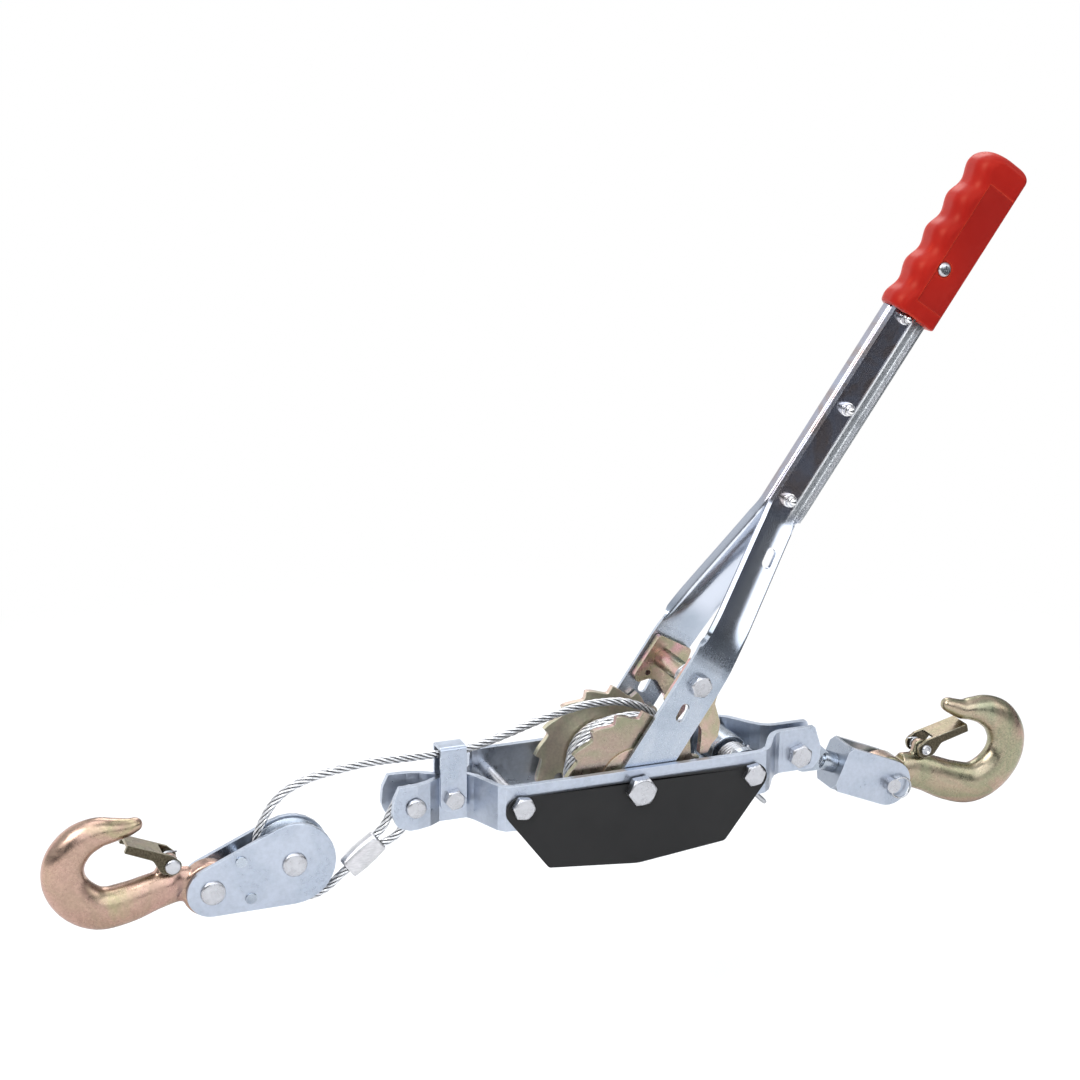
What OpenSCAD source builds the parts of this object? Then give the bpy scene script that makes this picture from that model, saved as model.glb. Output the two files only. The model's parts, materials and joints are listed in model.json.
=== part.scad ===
// Hand cable puller (come-along) with a lever handle, a ratchet drum, a
// pulley block on a doubled wire rope and two safety hooks.
// Units are millimetres. +Z is up, +X points to the rear hook, -X to the
// front hook, -Y is the near side and +Y the far side. The origin is the
// centre of the drum axle.

/* [Frame] */
// half distance between the outer faces of the two side plates
frame_w = 32.4; // [31.8:0.1:34]
// thickness of the side plates
plate_t = 3.5; // [3:0.1:3.5]
// top edge of the side plates above the axle
plate_top = 11.6; // [11:0.1:12.4]
// height of the bottom edge of the side plates, below the axle
plate_bot = -15.1; // [-15.6:0.1:-14.6]
// distance from the axle to each small cover bolt
bolt_x = 72; // [71.5:0.1:72.5]
// thickness of the cover plates
cover_t = 1.5; // [1.2:0.1:2]

/* [Drum] */
// tooth tip radius of the ratchet wheels
tip_r = 43.2; // [43:0.05:43.3]
// root radius of the ratchet wheels
root_r = 38.9; // [38.6:0.1:39]
// wire rope diameter
rope_d = 4.8; // [4.4:0.1:4.9]

/* [Handle] */
// lean of the handle from the vertical, degrees
lean = 34.45; // [34:0.05:35]
// distance from the axle to the drive pawl bolt
pawl_r = 68.2; // [68.2:0.1:68.6]
// half depth of the grip
grip_hy = 11.8; // [11.2:0.1:12.6]

/* [Block] */
// outer radius of the sheave
sheave_r = 22.6; // [22:0.1:23.2]

/* [Hidden] */
$fn = 64;

zinc = [0.74, 0.79, 0.84];
gold = [0.72, 0.68, 0.42];
copper = [0.78, 0.58, 0.44];
black = [0.13, 0.13, 0.13];
red = [0.72, 0.12, 0.1];
steel = [0.8, 0.8, 0.82];
pale_grey = [0.85, 0.86, 0.88];

fit = 0.05;    // radial clearance of a hole
cut_y = 60;    // default reach of a cut each side of the mid plane
sides = [-1, 1];

// fastener centres in X-Z, and shank radii
axle_at = [0, 0];
axle_r = 5;
bolt_z = -0.5;
bolt_r = 4;
anchor_at = [-127.5, -1.6];
anchor_r = 4;
strap_at = [-103, -1.4];
strap_bolt_r = 3;
rear_at = [116.5, -5];
rear_bolt_r = 4;
rear_y = 7;    // seats of the rear bolt head and nut
function cover_bolt_at(side) = [side*bolt_x, bolt_z];

// distances of faces from the mid plane
plate_in = frame_w - plate_t;
cover_face = frame_w + cover_t;
wheel_in = 20.4;
wheel_out = 24.4;
arm_in = 25.4;
arm_out = 27.9;

// ---------- placing shapes along Y ----------
// cylinder along Y between two y values, at [x, z]
module y_cylinder(at, radius, y0, y1, fn = 64) {
  translate([at[0], y1, at[1]]) rotate([90, 0, 0]) cylinder(r = radius, h = y1 - y0, $fn = fn);
}
// cylinder that cuts a hole with clearance
module y_hole(at, radius, y0 = -cut_y, y1 = cut_y) {
  y_cylinder(at, radius + fit, y0, y1);
}
// hexagonal prism along Y, flats apart, turned by an angle
module y_hex(at, flats, y0, y1, turn = 0) {
  translate([at[0], y1, at[1]]) rotate([90, 0, 0]) rotate([0, 0, turn])
    cylinder(r = flats/2/cos(30), h = y1 - y0, $fn = 6);
}
// a shape drawn in X-Z, extruded along Y between two y values
module y_plate(y0, y1) {
  translate([0, y1, 0]) rotate([90, 0, 0]) linear_extrude(y1 - y0) children();
}
// the same on one side (-1 near, 1 far), between two distances from the mid plane
module side_cylinder(side, at, radius, inner, outer) {
  y_cylinder(at, radius, side > 0 ? inner : -outer, side > 0 ? outer : -inner);
}
module side_slab(side, inner, outer) {
  y_plate(side > 0 ? inner : -outer, side > 0 ? outer : -inner) children();
}
// a ring on the axle, one on each side
module washer_pair(radius, inner, outer) {
  for (side = sides) difference() {
    side_cylinder(side, axle_at, radius, inner, outer);
    y_hole(axle_at, axle_r);
  }
}

// ---------- outlines and curves ----------
function unit(v) = v/norm(v);
function polar(radius, angle) = [radius*cos(angle), radius*sin(angle)];
function at_y(point, y) = [point[0], y, point[1]];
function turn_about(point, centre, angle) = let (d = point - centre)
  centre + [d*[cos(angle), -sin(angle)], d*[sin(angle), cos(angle)]];
// the path moved sideways, to the right of its direction
function offset_path(path, distance) = let (last = len(path) - 1)
  [for (i = [0:last])
    let (d = unit(path[min(i + 1, last)] - path[max(i - 1, 0)]))
    path[i] + distance*[d[1], -d[0]]];
// arc that rounds one corner
function fillet(before, corner, after, radius, steps) =
  let (u = unit(before - corner), v = unit(after - corner),
       half = acos(u*v)/2,
       reach = radius/tan(half),
       start = corner + u*reach,
       end = corner + v*reach,
       centre = corner + unit(u + v)*(radius/sin(half)),
       a0 = atan2(start[1] - centre[1], start[0] - centre[0]),
       a1 = atan2(end[1] - centre[1], end[0] - centre[0]),
       sweep = (a1 - a0 > 180) ? a1 - a0 - 360 : (a1 - a0 < -180) ? a1 - a0 + 360 : a1 - a0)
  [for (i = [0:steps]) centre + polar(radius, a0 + sweep*i/steps)];
// outline from corners [x, y, corner radius]; radius 0 stays sharp
function xy(row) = [row[0], row[1]];
function rounded(rows, steps = 6) = let (n = len(rows))
  [for (i = [0:n - 1]) each (rows[i][2] > 0
     ? fillet(xy(rows[(i + n - 1) % n]), xy(rows[i]), xy(rows[(i + 1) % n]), rows[i][2], steps)
     : [xy(rows[i])])];
// Catmull-Rom curve through rows of any width
function blend(a, b, c, d, t) =
  0.5*((2*b) + (c - a)*t + (2*a - 5*b + 4*c - d)*t*t + (3*b - a - 3*c + d)*t*t*t);
function curve(rows, steps) =
  let (n = len(rows),
       ext = concat([2*rows[0] - rows[1]], rows, [2*rows[n - 1] - rows[n - 2]]))
  concat([for (i = [0:n - 2]) for (j = [0:steps - 1])
     blend(ext[i], ext[i + 1], ext[i + 2], ext[i + 3], j/steps)], [rows[n - 1]]);

// ---------- swept bodies ----------
// elliptical section along rows [x, y, z, half width in plane, half width across],
// where across is the direction of ref
module sweep(rows, around, ref = [0, 1, 0]) {
  n = len(rows);
  centres = [for (row = rows) [row[0], row[1], row[2]]];
  tangents = [for (i = [0:n - 1]) unit(centres[min(i + 1, n - 1)] - centres[max(i - 1, 0)])];
  normals = [for (t = tangents) unit(cross(t, ref))];
  across = [for (i = [0:n - 1]) cross(tangents[i], normals[i])];
  rings = [for (i = [0:n - 1]) for (j = [0:around - 1])
    centres[i] + normals[i]*rows[i][3]*cos(360*j/around) + across[i]*rows[i][4]*sin(360*j/around)];
  walls = [for (i = [0:n - 2]) for (j = [0:around - 1])
    let (a = i*around + j, b = i*around + (j + 1) % around)
    each [[a, a + around, b], [b, a + around, b + around]]];
  first_cap = [for (j = [0:around - 1]) [n*around, j, (j + 1) % around]];
  last_cap = [for (j = [0:around - 1])
    [n*around + 1, (n - 1)*around + (j + 1) % around, (n - 1)*around + j]];
  polyhedron(points = concat(rings, [centres[0], centres[n - 1]]),
    faces = concat(walls, first_cap, last_cap), convexity = 8);
}
// round wire through points [x, y, z]
module wire(points, radius, around = 12, ref = [0, 1, 0]) {
  sweep([for (p = points) concat(p, [radius, radius])], around, ref);
}
// coil spring about Y at [x, z] from y0 and angle a0, with a straight tangent leg at each end
module coil(at, radius, wire_r, y0, turns, pitch, a0, first_leg, last_leg, steps = 18) {
  n = round(turns*steps);
  a1 = a0 + 360*turns;
  first = at + polar(radius, a0) + first_leg*[sin(a0), -cos(a0)];
  last = at + polar(radius, a1) + last_leg*[-sin(a1), cos(a1)];
  turns_path = [for (i = [0:n])
    at_y(at + polar(radius, a0 + 360*turns*i/n), y0 + pitch*turns*i/n)];
  wire(concat([at_y(first, y0)], turns_path, [at_y(last, y0 + pitch*turns)]), wire_r, 8);
}

// ---------- bolts and nuts ----------
module hex_head(at, flats, seat, height, turn) {
  rim = 0.09*flats;    // depth of the bevel
  difference() {
    y_hex(at, flats, seat - height, seat, turn);
    // bevelled rim of the hexagon
    translate([at[0], seat - height, at[1]]) rotate([-90, 0, 0]) difference() {
      translate([0, 0, -1]) cylinder(r = flats, h = 1 + rim);
      translate([0, 0, -1.01])
        cylinder(r1 = flats*0.475 - 1, r2 = flats*0.475 + flats*0.12, h = 1.03 + rim);
    }
  }
}
// the head lies on the near side of y = seat, the shank ends at y = end
module bolt(at, radius, flats, head, seat, end, turn) {
  union() {
    hex_head(at, flats, seat, head, turn);
    y_cylinder(at, radius, seat - 0.5, end);
  }
}
module nut(at, radius, flats, seat, height, turn) {
  difference() {
    y_hex(at, flats, seat, seat + height, turn);
    y_cylinder(at, radius + 0.02, seat - 1, seat + height + 1);
  }
}

// ---------- side plates ----------
// bend of a plate seen from above: [x, distance of the outer face from the mid
// plane], measured for a frame half width of 32.4
bend_rows = [[-142, 12.3], [-134, 12.2], [-126, 11.6], [-118, 9.2], [-113.8, 6.4],
  [-111.2, 4.7], [-94.8, 4.7], [-92, 9], [-88, 19.5], [-84.5, 28], [-81, 31.6], [-76, 32.4],
  [0, 32.4], [76, 32.4], [82, 31.2], [86.5, 27.6], [91, 21], [95.5, 14], [99.5, 9.3],
  [103, 7.4], [106, 7], [132.5, 7]];
bend_shift = frame_w - 32.4;
module plate_bend() {
  outer = [for (row = bend_rows) [row[0], row[1] + bend_shift]];
  inner = offset_path(outer, plate_t);
  translate([0, 0, -30]) linear_extrude(60)
    polygon(concat([for (p = outer) [p[0], -p[1]]],
      [for (i = [len(inner) - 1:-1:0]) [inner[i][0], -inner[i][1]]]));
}
// corners seen from the side: [x, z, corner radius]
plate_corners = [[-137, plate_top, 0.8], [-140.4, 4.6, 6], [-141.2, -5, 8], [-138.5, -12, 5],
  [-131, plate_bot, 5], [126.6, plate_bot, 2], [131, -9.8, 3], [131.4, -1.5, 4],
  [127, plate_top, 1.2]];
// axle and cover bolt holes
module frame_holes(y1) {
  y_hole(axle_at, axle_r, y1 = y1);
  for (side = sides) y_hole(cover_bolt_at(side), bolt_r, y1 = y1);
}
module side_plate() {
  difference() {
    intersection() {
      plate_bend();
      y_plate(-60, 0) polygon(rounded(plate_corners, 4));
    }
    frame_holes(1);
    y_hole(anchor_at, anchor_r, y1 = 1);
    y_hole(strap_at, strap_bolt_r, y1 = 1);
    y_hole(rear_at, rear_bolt_r, y1 = 1);
  }
}
module side_plate_near() { color(zinc) side_plate(); }
module side_plate_far() { color(zinc) mirror([0, 1, 0]) side_plate(); }

// ---------- covers ----------
// corners: [x, z, corner radius]
cover_corners = [[-90.1, 5.2, 8.4], [-55.4, -40.3, 3.5], [0, -46, 30],
  [55.4, -40.3, 3.5], [90.1, 5.2, 8.4]];
module cover(y0) {
  difference() {
    y_plate(y0, y0 + cover_t) polygon(rounded(cover_corners, 8));
    frame_holes(cut_y);
  }
}
module cover_plate_near() { color(black) cover(-cover_face); }
module cover_plate_far() { color(black) cover(frame_w); }

// ---------- frame fasteners ----------
module axle_bolt() {
  color(steel) bolt(axle_at, axle_r, flats = 15.6, head = 6,
    seat = -cover_face, end = cover_face + 10, turn = 4);
}
module axle_nut() {
  color(steel) nut(axle_at, axle_r, flats = 15.6, seat = cover_face, height = 8, turn = 12);
}
module axle_washers() {
  color(steel) washer_pair(10, arm_out + 0.05, plate_in - 0.02);
}
module cover_bolts() {
  color(steel) for (side = sides)
    bolt(cover_bolt_at(side), bolt_r, flats = 12, head = 4.6,
      seat = -cover_face, end = cover_face + 8, turn = side*8);
}
module cover_bolt_nuts() {
  color(steel) for (side = sides)
    nut(cover_bolt_at(side), bolt_r, flats = 12.6, seat = cover_face, height = 6.4,
      turn = side*5);
}
module anchor_rivet() {
  color(steel) union() {
    y_cylinder(anchor_at, anchor_r, -12.6, 12.6);
    for (side = sides) side_cylinder(side, anchor_at, 5.8, 12.4, 14.6);
  }
}
module rear_bolt() {
  color(steel) bolt(rear_at, rear_bolt_r, flats = 13, head = 5, seat = -rear_y, end = 15,
    turn = 20);
}
module rear_nut() {
  color(steel) nut(rear_at, rear_bolt_r, flats = 13, seat = rear_y, height = 6.4, turn = 8);
}

// ---------- cable guide ----------
strap_in = 4.72;
strap_out = 6.5;
strap_top = 29.4;
strap_top_t = 1.8;
strap_half_w = 7.8;
strap_bend_r = 2;
strap_x0 = strap_at[0] - strap_half_w;
strap_x1 = strap_at[0] + strap_half_w;
module strap_leg() {
  foot_z = strap_at[1] - strap_half_w;
  y_plate(strap_in, strap_out)
    polygon(rounded([[strap_x0, strap_top - 0.2, 0.01], [strap_x0, foot_z, 5.5],
      [strap_x1, foot_z, 5.5], [strap_x1, strap_top - 0.2, 0.01]]));
}
// waste outside the rounded bend along one top edge
module strap_bend_cut(side) {
  difference() {
    translate([strap_x0 - 1.2, side > 0 ? strap_out - strap_bend_r : -strap_out - 0.01,
      strap_top - strap_bend_r]) cube([18, strap_bend_r + 0.01, strap_bend_r + 0.01]);
    translate([strap_x0 - 2.2, side*(strap_out - strap_bend_r), strap_top - strap_bend_r])
      rotate([0, 90, 0]) cylinder(r = strap_bend_r, h = 20, $fn = 48);
  }
}
module cable_guide_strap() {
  color(zinc) difference() {
    union() {
      strap_leg();
      mirror([0, 1, 0]) strap_leg();
      translate([strap_x0, -strap_out, strap_top - strap_top_t])
        cube([2*strap_half_w, 2*strap_out, strap_top_t]);
    }
    for (side = sides) strap_bend_cut(side);
    y_hole(strap_at, strap_bolt_r, -20, 20);
  }
}
module guide_strap_bolt() {
  color(steel) bolt(strap_at, strap_bolt_r, flats = 10.6, head = 4.2,
    seat = -strap_out, end = strap_out + 7, turn = 10);
}
module guide_strap_nut() {
  color(steel) nut(strap_at, strap_bolt_r, flats = 10.6, seat = strap_out, height = 5, turn = 4);
}

// ---------- wire rope ----------
rope_r = rope_d/2;
// centre line [x, y, z]: off the drum, through the guide, round the sheave, to the ferrule
run_points = [
  at_y(polar(38.7, 40), 3), at_y(polar(38.7, 58), 3.6),
  at_y(polar(38.8, 76), 5), at_y(polar(39.1, 92), 7),
  [-20, 7.6, 38.6], [-45, 5.6, 34.4], [-72, 2.4, 28.4], [-90, 0.7, 25],
  [-103, 0, 24.2], [-126, 0, 24.3], [-150, 0, 24.6], [-170, 0, 22.6],
  [-186, 0, 19.8], [-198, 0, 15], [-206.6, 0, 8], [-211.8, 0, 0.2],
  [-215.6, 0, -8], [-217.4, 0, -18], [-217.2, 0, -27.5], [-214, 0, -37.2],
  [-206.4, 0, -44.6], [-196.6, 0, -48.4], [-185.6, 0, -50.4], [-176.6, 0, -47.2],
  [-169.8, 0, -41.8], [-164.72, 0, -37.7]];
module cable_run() { color(steel) wire(curve(run_points, 4), rope_r); }

ferrule_at = [-155.2, -30.2];
ferrule_tilt = 38.2;
ferrule_len = 23.8;
// point in the mid plane, along and beside the ferrule axis
function by_ferrule(along, side) =
  at_y(ferrule_at + polar(along, ferrule_tilt) + polar(side, ferrule_tilt + 90), 0);
loop_r = anchor_r + rope_r + 0.75;
// centre line from the ferrule round the anchor rivet and back
loop_points = concat(
  [by_ferrule(12.5, 3.6), by_ferrule(20, 4.8)],
  [for (a = [145:-30:-65]) at_y(anchor_at + polar(loop_r, a), 0)],
  [by_ferrule(22, -5.4), by_ferrule(12.5, -3.6)]);
module cable_anchor_loop() { color(steel) wire(curve(loop_points, 5), rope_r); }
// pressed sleeve holding both rope parts side by side
module ferrule() {
  color(pale_grey) translate(at_y(ferrule_at, 0)) rotate([0, -ferrule_tilt, 0])
    rotate([0, 90, 0]) translate([0, 0, -ferrule_len/2]) linear_extrude(ferrule_len)
      polygon(rounded([[-7.2, -4.6, 4.2], [7.2, -4.6, 4.2], [7.2, 4.6, 4.2], [-7.2, 4.6, 4.2]], 8));
}

// ---------- ratchet drum ----------
teeth = 16;
first_tip = 14.9;    // angle of the first tooth tip
core_r = 16;
hub_r = 12;
bushing_r = 7;
// one tooth starting at angle a: steep face down from the tip, then the long back
function tooth(a) = [polar(tip_r, a), polar(tip_r - 0.6, a + 0.25),
  polar((tip_r + root_r)/2, a + 1.2), polar(root_r + 0.35, a + 2.6), polar(root_r, a + 4.2),
  polar(root_r + 0.25, a + 6.6), polar(root_r + 1.0, a + 10), polar(root_r + 2.1, a + 13.8),
  polar(root_r + 3.2, a + 17.4), polar(tip_r - 0.35, a + 20.4)];
module wheel() {
  difference() {
    y_plate(wheel_in, wheel_out)
      polygon([for (k = [0:teeth - 1]) each tooth(first_tip + k*360/teeth)]);
    y_hole(axle_at, hub_r, 0);
    // slot that takes the rope end
    for (k = [0:3]) y_cylinder(polar(29.5, 200 + 4*k), 3, 0, cut_y);
  }
}
module ratchet_wheel_far() { color(gold) wheel(); }
module ratchet_wheel_near() { color(gold) mirror([0, 1, 0]) wheel(); }
module drum_core() {
  color(gold) difference() {
    union() {
      y_cylinder(axle_at, core_r, -wheel_in, wheel_in);
      y_cylinder(axle_at, hub_r, -wheel_out, wheel_out);
    }
    y_hole(axle_at, bushing_r);
  }
}
module drum_bushing() {
  color(steel) difference() {
    y_cylinder(axle_at, bushing_r, -wheel_out, wheel_out);
    y_hole(axle_at, axle_r);
  }
}
module drum_thrust_washers() { color(gold) washer_pair(21.5, wheel_out, arm_in - 0.06); }

wraps = [8, 5, 4, 3, 3];     // rope rings in each layer, from the core outwards
layer_starts = [-17.9, -15.4];    // y of the first ring in even and odd layers
layer_rise = 4.62;
wrap_pitch = 5.05;
module rope_ring(layer, y) {
  translate([0, y, 0]) rotate([90, 0, 0]) rotate_extrude($fn = 64)
    translate([core_r + rope_r + 0.05 + layer*layer_rise, 0]) circle(r = rope_r, $fn = 24);
}
module cable_winding() {
  color(steel) for (layer = [0:len(wraps) - 1]) for (k = [0:wraps[layer] - 1])
    rope_ring(layer, layer_starts[layer % 2] + k*wrap_pitch);
}

// ---------- handle ----------
// Handle frame: origin on the axle, Z along the handle, X sideways.
module on_handle() { rotate([0, lean, 0]) children(); }
// the [x, z] of a point given along and beside the handle
function handle_point(along, side) = along*[sin(lean), cos(lean)] + side*[cos(lean), -sin(lean)];

sheet = 2.3;         // thickness of the lips and of the straight upper part
lip_h = 3.4;
channel_x0 = -12;
channel_x1 = 12.4;
channel_top = 357;
rivet_r = 3;
rivet_z = [for (k = [0:2]) 186.2 + 62.5*k];
screw_z = 345.7;
screw_r = 2.2;
// side profile of an arm: [z, distance of the outer face from the mid plane]
arm_rows = [[-16, arm_out], [78, arm_out], [84, 27.5], [90, 26.4], [97, 24.3], [158, 6.6],
  [165, 4.6], [171, 3.1], [175.5, 2.5], [180, sheet], [channel_top, sheet]];
// side profile extruded across the handle width
module arm_web() {
  inner = offset_path(arm_rows, arm_out - arm_in);
  translate([-20, 0, 0]) rotate([90, 0, 90]) linear_extrude(40)
    polygon(concat([for (row = arm_rows) [-row[1], row[0]]],
      [for (i = [len(inner) - 1:-1:0]) [min(-inner[i][1], -0.02), inner[i][0]]]));
}
// raised lip of the pressed channel at x, kept above z0
module arm_lip(x, z0) {
  rows = [for (row = arm_rows) if (row[0] >= 90) row];
  last = len(rows) - 1;
  intersection() {
    translate([x, 0, 0]) rotate([90, 0, 90]) linear_extrude(sheet)
      polygon(concat([for (i = [0:last]) [-rows[i][1] - (i == 0 ? 0.3 : lip_h), rows[i][0]]],
        [for (i = [last:-1:0]) [-rows[i][1] + 0.6, rows[i][0]]]));
    translate([-30, -60, z0]) cube([60, 120, 400]);
  }
}
// width of an arm, [x, z]: round end below the axle, then up one edge and down the other
arm_plan = concat(
  [for (i = [0:16]) [0.7 - 13.7*cos(180*i/16), -13.7*sin(180*i/16)]],
  [[14.4, 70], [12.9, 110], [channel_x1, 176], [channel_x1, channel_top],
   [channel_x0, channel_top], [channel_x0, 176], [-12.6, 110], [-13, 80]]);
module handle_channel() {
  difference() {
    union() {
      intersection() {
        arm_web();
        y_plate(-60, 60) polygon(arm_plan);
      }
      arm_lip(channel_x0, 97);
      arm_lip(channel_x1 - sheet, 177);
    }
    y_hole(axle_at, axle_r, y1 = 1);
    y_hole([0, pawl_r], bolt_r, y1 = 1);
    // slanted slot below the drive pawl bolt
    for (k = [0:3]) y_cylinder([1 - 0.2*k, 46.6 + 2*k], 2.8, -cut_y, 1, fn = 32);
    // oblong hole
    for (k = [0:3]) y_cylinder([5.6, 148 + 2.2*k], 3, -cut_y, 1, fn = 32);
    for (z = rivet_z) y_hole([0, z], rivet_r, y1 = 1);
    y_hole([0, screw_z], screw_r, y1 = 1);
  }
}
module handle_channel_near() { color(zinc) on_handle() handle_channel(); }
module handle_channel_far() { color(zinc) on_handle() mirror([0, 1, 0]) handle_channel(); }
// shank, near collar, near end and far head: [radius, y0, y1]
rivet_steps = [[rivet_r, -10, 4], [5.2, -5.6, -sheet], [4.2, -8.2, -5.5], [5.2, sheet, 5.4]];
module handle_rivets() {
  color(steel) on_handle() for (z = rivet_z) union() {
    for (step = rivet_steps) y_cylinder([0, z], step[0], step[1], step[2]);
  }
}

// ---------- grip ----------
grip_z0 = 312.6;
grip_z1 = 419;
wave_pitch = 22.45;
wave_r = 9;     // edge rounding along the waved -X side
plain_r = 4;    // edge rounding along the rest
layer_depths = [0, 0.5, 1.4, 2.8, 5];    // steps of the rounding below each face
recess = 0.9;   // depth of the panel on each face
play = 0.2;     // gap round the channels
// finger waves along the -X side
function wave_x(z) = -14.9 - 1.5*cos(360*(z - 317.8)/wave_pitch);
// how far an edge of radius r draws in at a depth below the face
function inset(r, depth) = depth >= r ? 0 : r - sqrt(r*r - (r - depth)*(r - depth));
// outline drawn in by w on the waved side and by p elsewhere
function grip_plan(w, p) = concat(
  [for (z = [grip_z0 + p/2:2.6:grip_z1 - 9]) [wave_x(z) + w, z]],
  [[-14.6 + w, grip_z1 - 4 - w/2], [-10.5 + w/2, grip_z1 - p], [7 - p, grip_z1 - p],
   [14 - p, grip_z1 - 2 - p/2], [17 - p, grip_z1 - 7], [16.8 - p, grip_z0 + p/2]]);
module grip_layer(d0, d1) {
  mid = (d0 + d1)/2;
  for (side = sides) side_slab(side, grip_hy - d1 - 0.01, grip_hy - d0)
    polygon(grip_plan(inset(wave_r, mid), inset(plain_r, mid)));
}
module grip() {
  color(red) on_handle() difference() {
    union() {
      for (i = [0:3]) grip_layer(layer_depths[i], layer_depths[i + 1]);
      y_plate(-grip_hy + 5, grip_hy - 5) polygon(grip_plan(inset(wave_r, 7), 0));
    }
    // pocket for the channels
    pocket_hy = sheet + lip_h + play;
    translate([channel_x0 - play, -pocket_hy, 300])
      cube([channel_x1 - channel_x0 + 2*play, 2*pocket_hy, channel_top + 0.4 - 300]);
    // recessed panel on both faces
    for (side = sides) side_slab(side, grip_hy - recess, grip_hy + 1)
      polygon(rounded([[-4.5, 322, 2], [13, 322, 2], [13, 401, 2], [-4.5, 401, 2]], 4));
    y_hole([0, screw_z], screw_r, -30, 9);
    // clearance round the top rivet
    y_cylinder([0, rivet_z[2]], 5.6, -10.6, 6.2);
  }
}
module grip_screw() {
  color(steel) on_handle() union() {
    y_cylinder([0, screw_z], 4.4, -grip_hy - 0.9, -grip_hy + recess);
    y_cylinder([0, screw_z], screw_r, -grip_hy + 0.8, 8.8);
  }
}

// ---------- pawls ----------
pawl_out = wheel_out + 0.6;
// sharp outline corner given by radius and angle about the axle
function sharp(radius, angle) = concat(polar(radius, angle), [0]);
// rounded outline corner given along and beside the handle
function by_handle(along, side, radius) = concat(handle_point(along, side), [radius]);
// two plates in line with the wheels, turned about the pivot from the drawn position,
// with a tube hole and a small hole cut from hole_y0 to the far side
module pawl_plates(corners, pivot, turn, tube_r, hole_at, hole_r, hole_y0) {
  for (side = sides) difference() {
    side_slab(side, wheel_in, pawl_out)
      polygon([for (p = rounded(corners, 5)) turn_about(p, pivot, turn)]);
    y_hole(pivot, tube_r);
    y_cylinder(turn_about(hole_at, pivot, turn), hole_r, hole_y0, cut_y, fn = 32);
  }
}

// ---------- drive pawl ----------
drive_pivot = handle_point(pawl_r, 0);
drive_tube_r = 5.9;
drive_corners = [
  sharp(root_r + 0.6, 18.1), sharp(root_r + 2.7, 16.75), sharp(tip_r + 0.9, 16.1),
  by_handle(39.5, 27.9, 3), by_handle(45, 29.4, 4), by_handle(53, 26.2, 5),
  by_handle(62, 17, 5), by_handle(80.2, 14, 2), by_handle(80.4, -9.8, 2.5),
  by_handle(52, -13, 2.2), by_handle(48.8, -9, 2), by_handle(53.5, -3.5, 3),
  by_handle(55, 2, 3), by_handle(50.5, 9, 5), by_handle(44.5, 17.5, 4),
  sharp(tip_r + 1.0, 28.5), sharp(root_r + 1.4, 21.2), sharp(root_r + 0.55, 19.2)];
module drive_pawl() {
  color(gold) pawl_plates(drive_corners, drive_pivot, turn = 5.9, tube_r = drive_tube_r,
    hole_at = handle_point(56.8, -5.6), hole_r = 1.6, hole_y0 = -cut_y);
}
module drive_pawl_tube() {
  color(gold) difference() {
    y_cylinder(drive_pivot, drive_tube_r, -pawl_out, pawl_out);
    y_hole(drive_pivot, bolt_r);
  }
}
module drive_pawl_spring() {
  color(steel) coil(drive_pivot, radius = 7.6, wire_r = 0.8, y0 = -19.3, turns = 3.5,
    pitch = 2.1, a0 = 60, first_leg = 8, last_leg = 9);
}
module drive_pawl_bolt() {
  color(steel) on_handle() bolt([0, pawl_r], bolt_r, flats = 11.8, head = 5,
    seat = -arm_out, end = arm_out + 8, turn = 22);
}
module drive_pawl_nut() {
  color(steel) on_handle() nut([0, pawl_r], bolt_r, flats = 12.6, seat = arm_out,
    height = 6.4, turn = 10);
}

// ---------- holding pawl ----------
hold_pivot = cover_bolt_at(1);
hold_turn = 5.2;
hold_tube_r = 7;
lever_r = 1.5;
lever_hole = [76, -16.6];    // before the pawl is turned
hold_corners = concat(
  [sharp(root_r + 0.6, -49.2), sharp(root_r + 2.7, -50.7), sharp(tip_r + 0.9, -51.4),
   [35.5, -38.5, 3], [54, -27, 8], [69, -16.8, 4], [73.5, -20.5, 3], [79.6, -18.2, 3]],
  [for (a = [-25:15:185]) concat(hold_pivot + polar(11.5, a), [0])],
  [[58, -11, 3], [49, -21, 5], sharp(tip_r + 1.0, -39.5), sharp(root_r + 1.3, -46.4),
   sharp(root_r + 0.55, -48.2)]);
module holding_pawl() {
  color(zinc) pawl_plates(hold_corners, hold_pivot, turn = hold_turn, tube_r = hold_tube_r,
    hole_at = lever_hole, hole_r = lever_r + fit, hole_y0 = 0);
}
module holding_pawl_tube() {
  color(zinc) difference() {
    union() {
      y_cylinder(hold_pivot, hold_tube_r, -pawl_out, pawl_out);
      y_cylinder(hold_pivot, 12, -3, wheel_in - 0.1);
    }
    y_hole(hold_pivot, bolt_r);
  }
}
module holding_pawl_spring() {
  color(steel) coil(hold_pivot, radius = 9, wire_r = 0.9, y0 = -18.6, turns = 5.5,
    pitch = 2.4, a0 = 160, first_leg = 8, last_leg = 9);
}
// thumb wire through the far pawl plate, bent down to the rear at its near end;
// rows are [x from the hole, y, z from the hole]
lever_rows = [[0, 25.6, 0], [0, 10, 0], [0, -8, 0], [0, -16.4, 0],
  [1.0, -18.2, -0.9], [5, -18.8, -4.6], [11.5, -18.8, -11]];
module release_lever() {
  hole = at_y(turn_about(lever_hole, hold_pivot, hold_turn), 0);
  color(steel) wire(curve([for (row = lever_rows) hole + row], 3), lever_r, 10, [1, 0, 1]);
}

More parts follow.
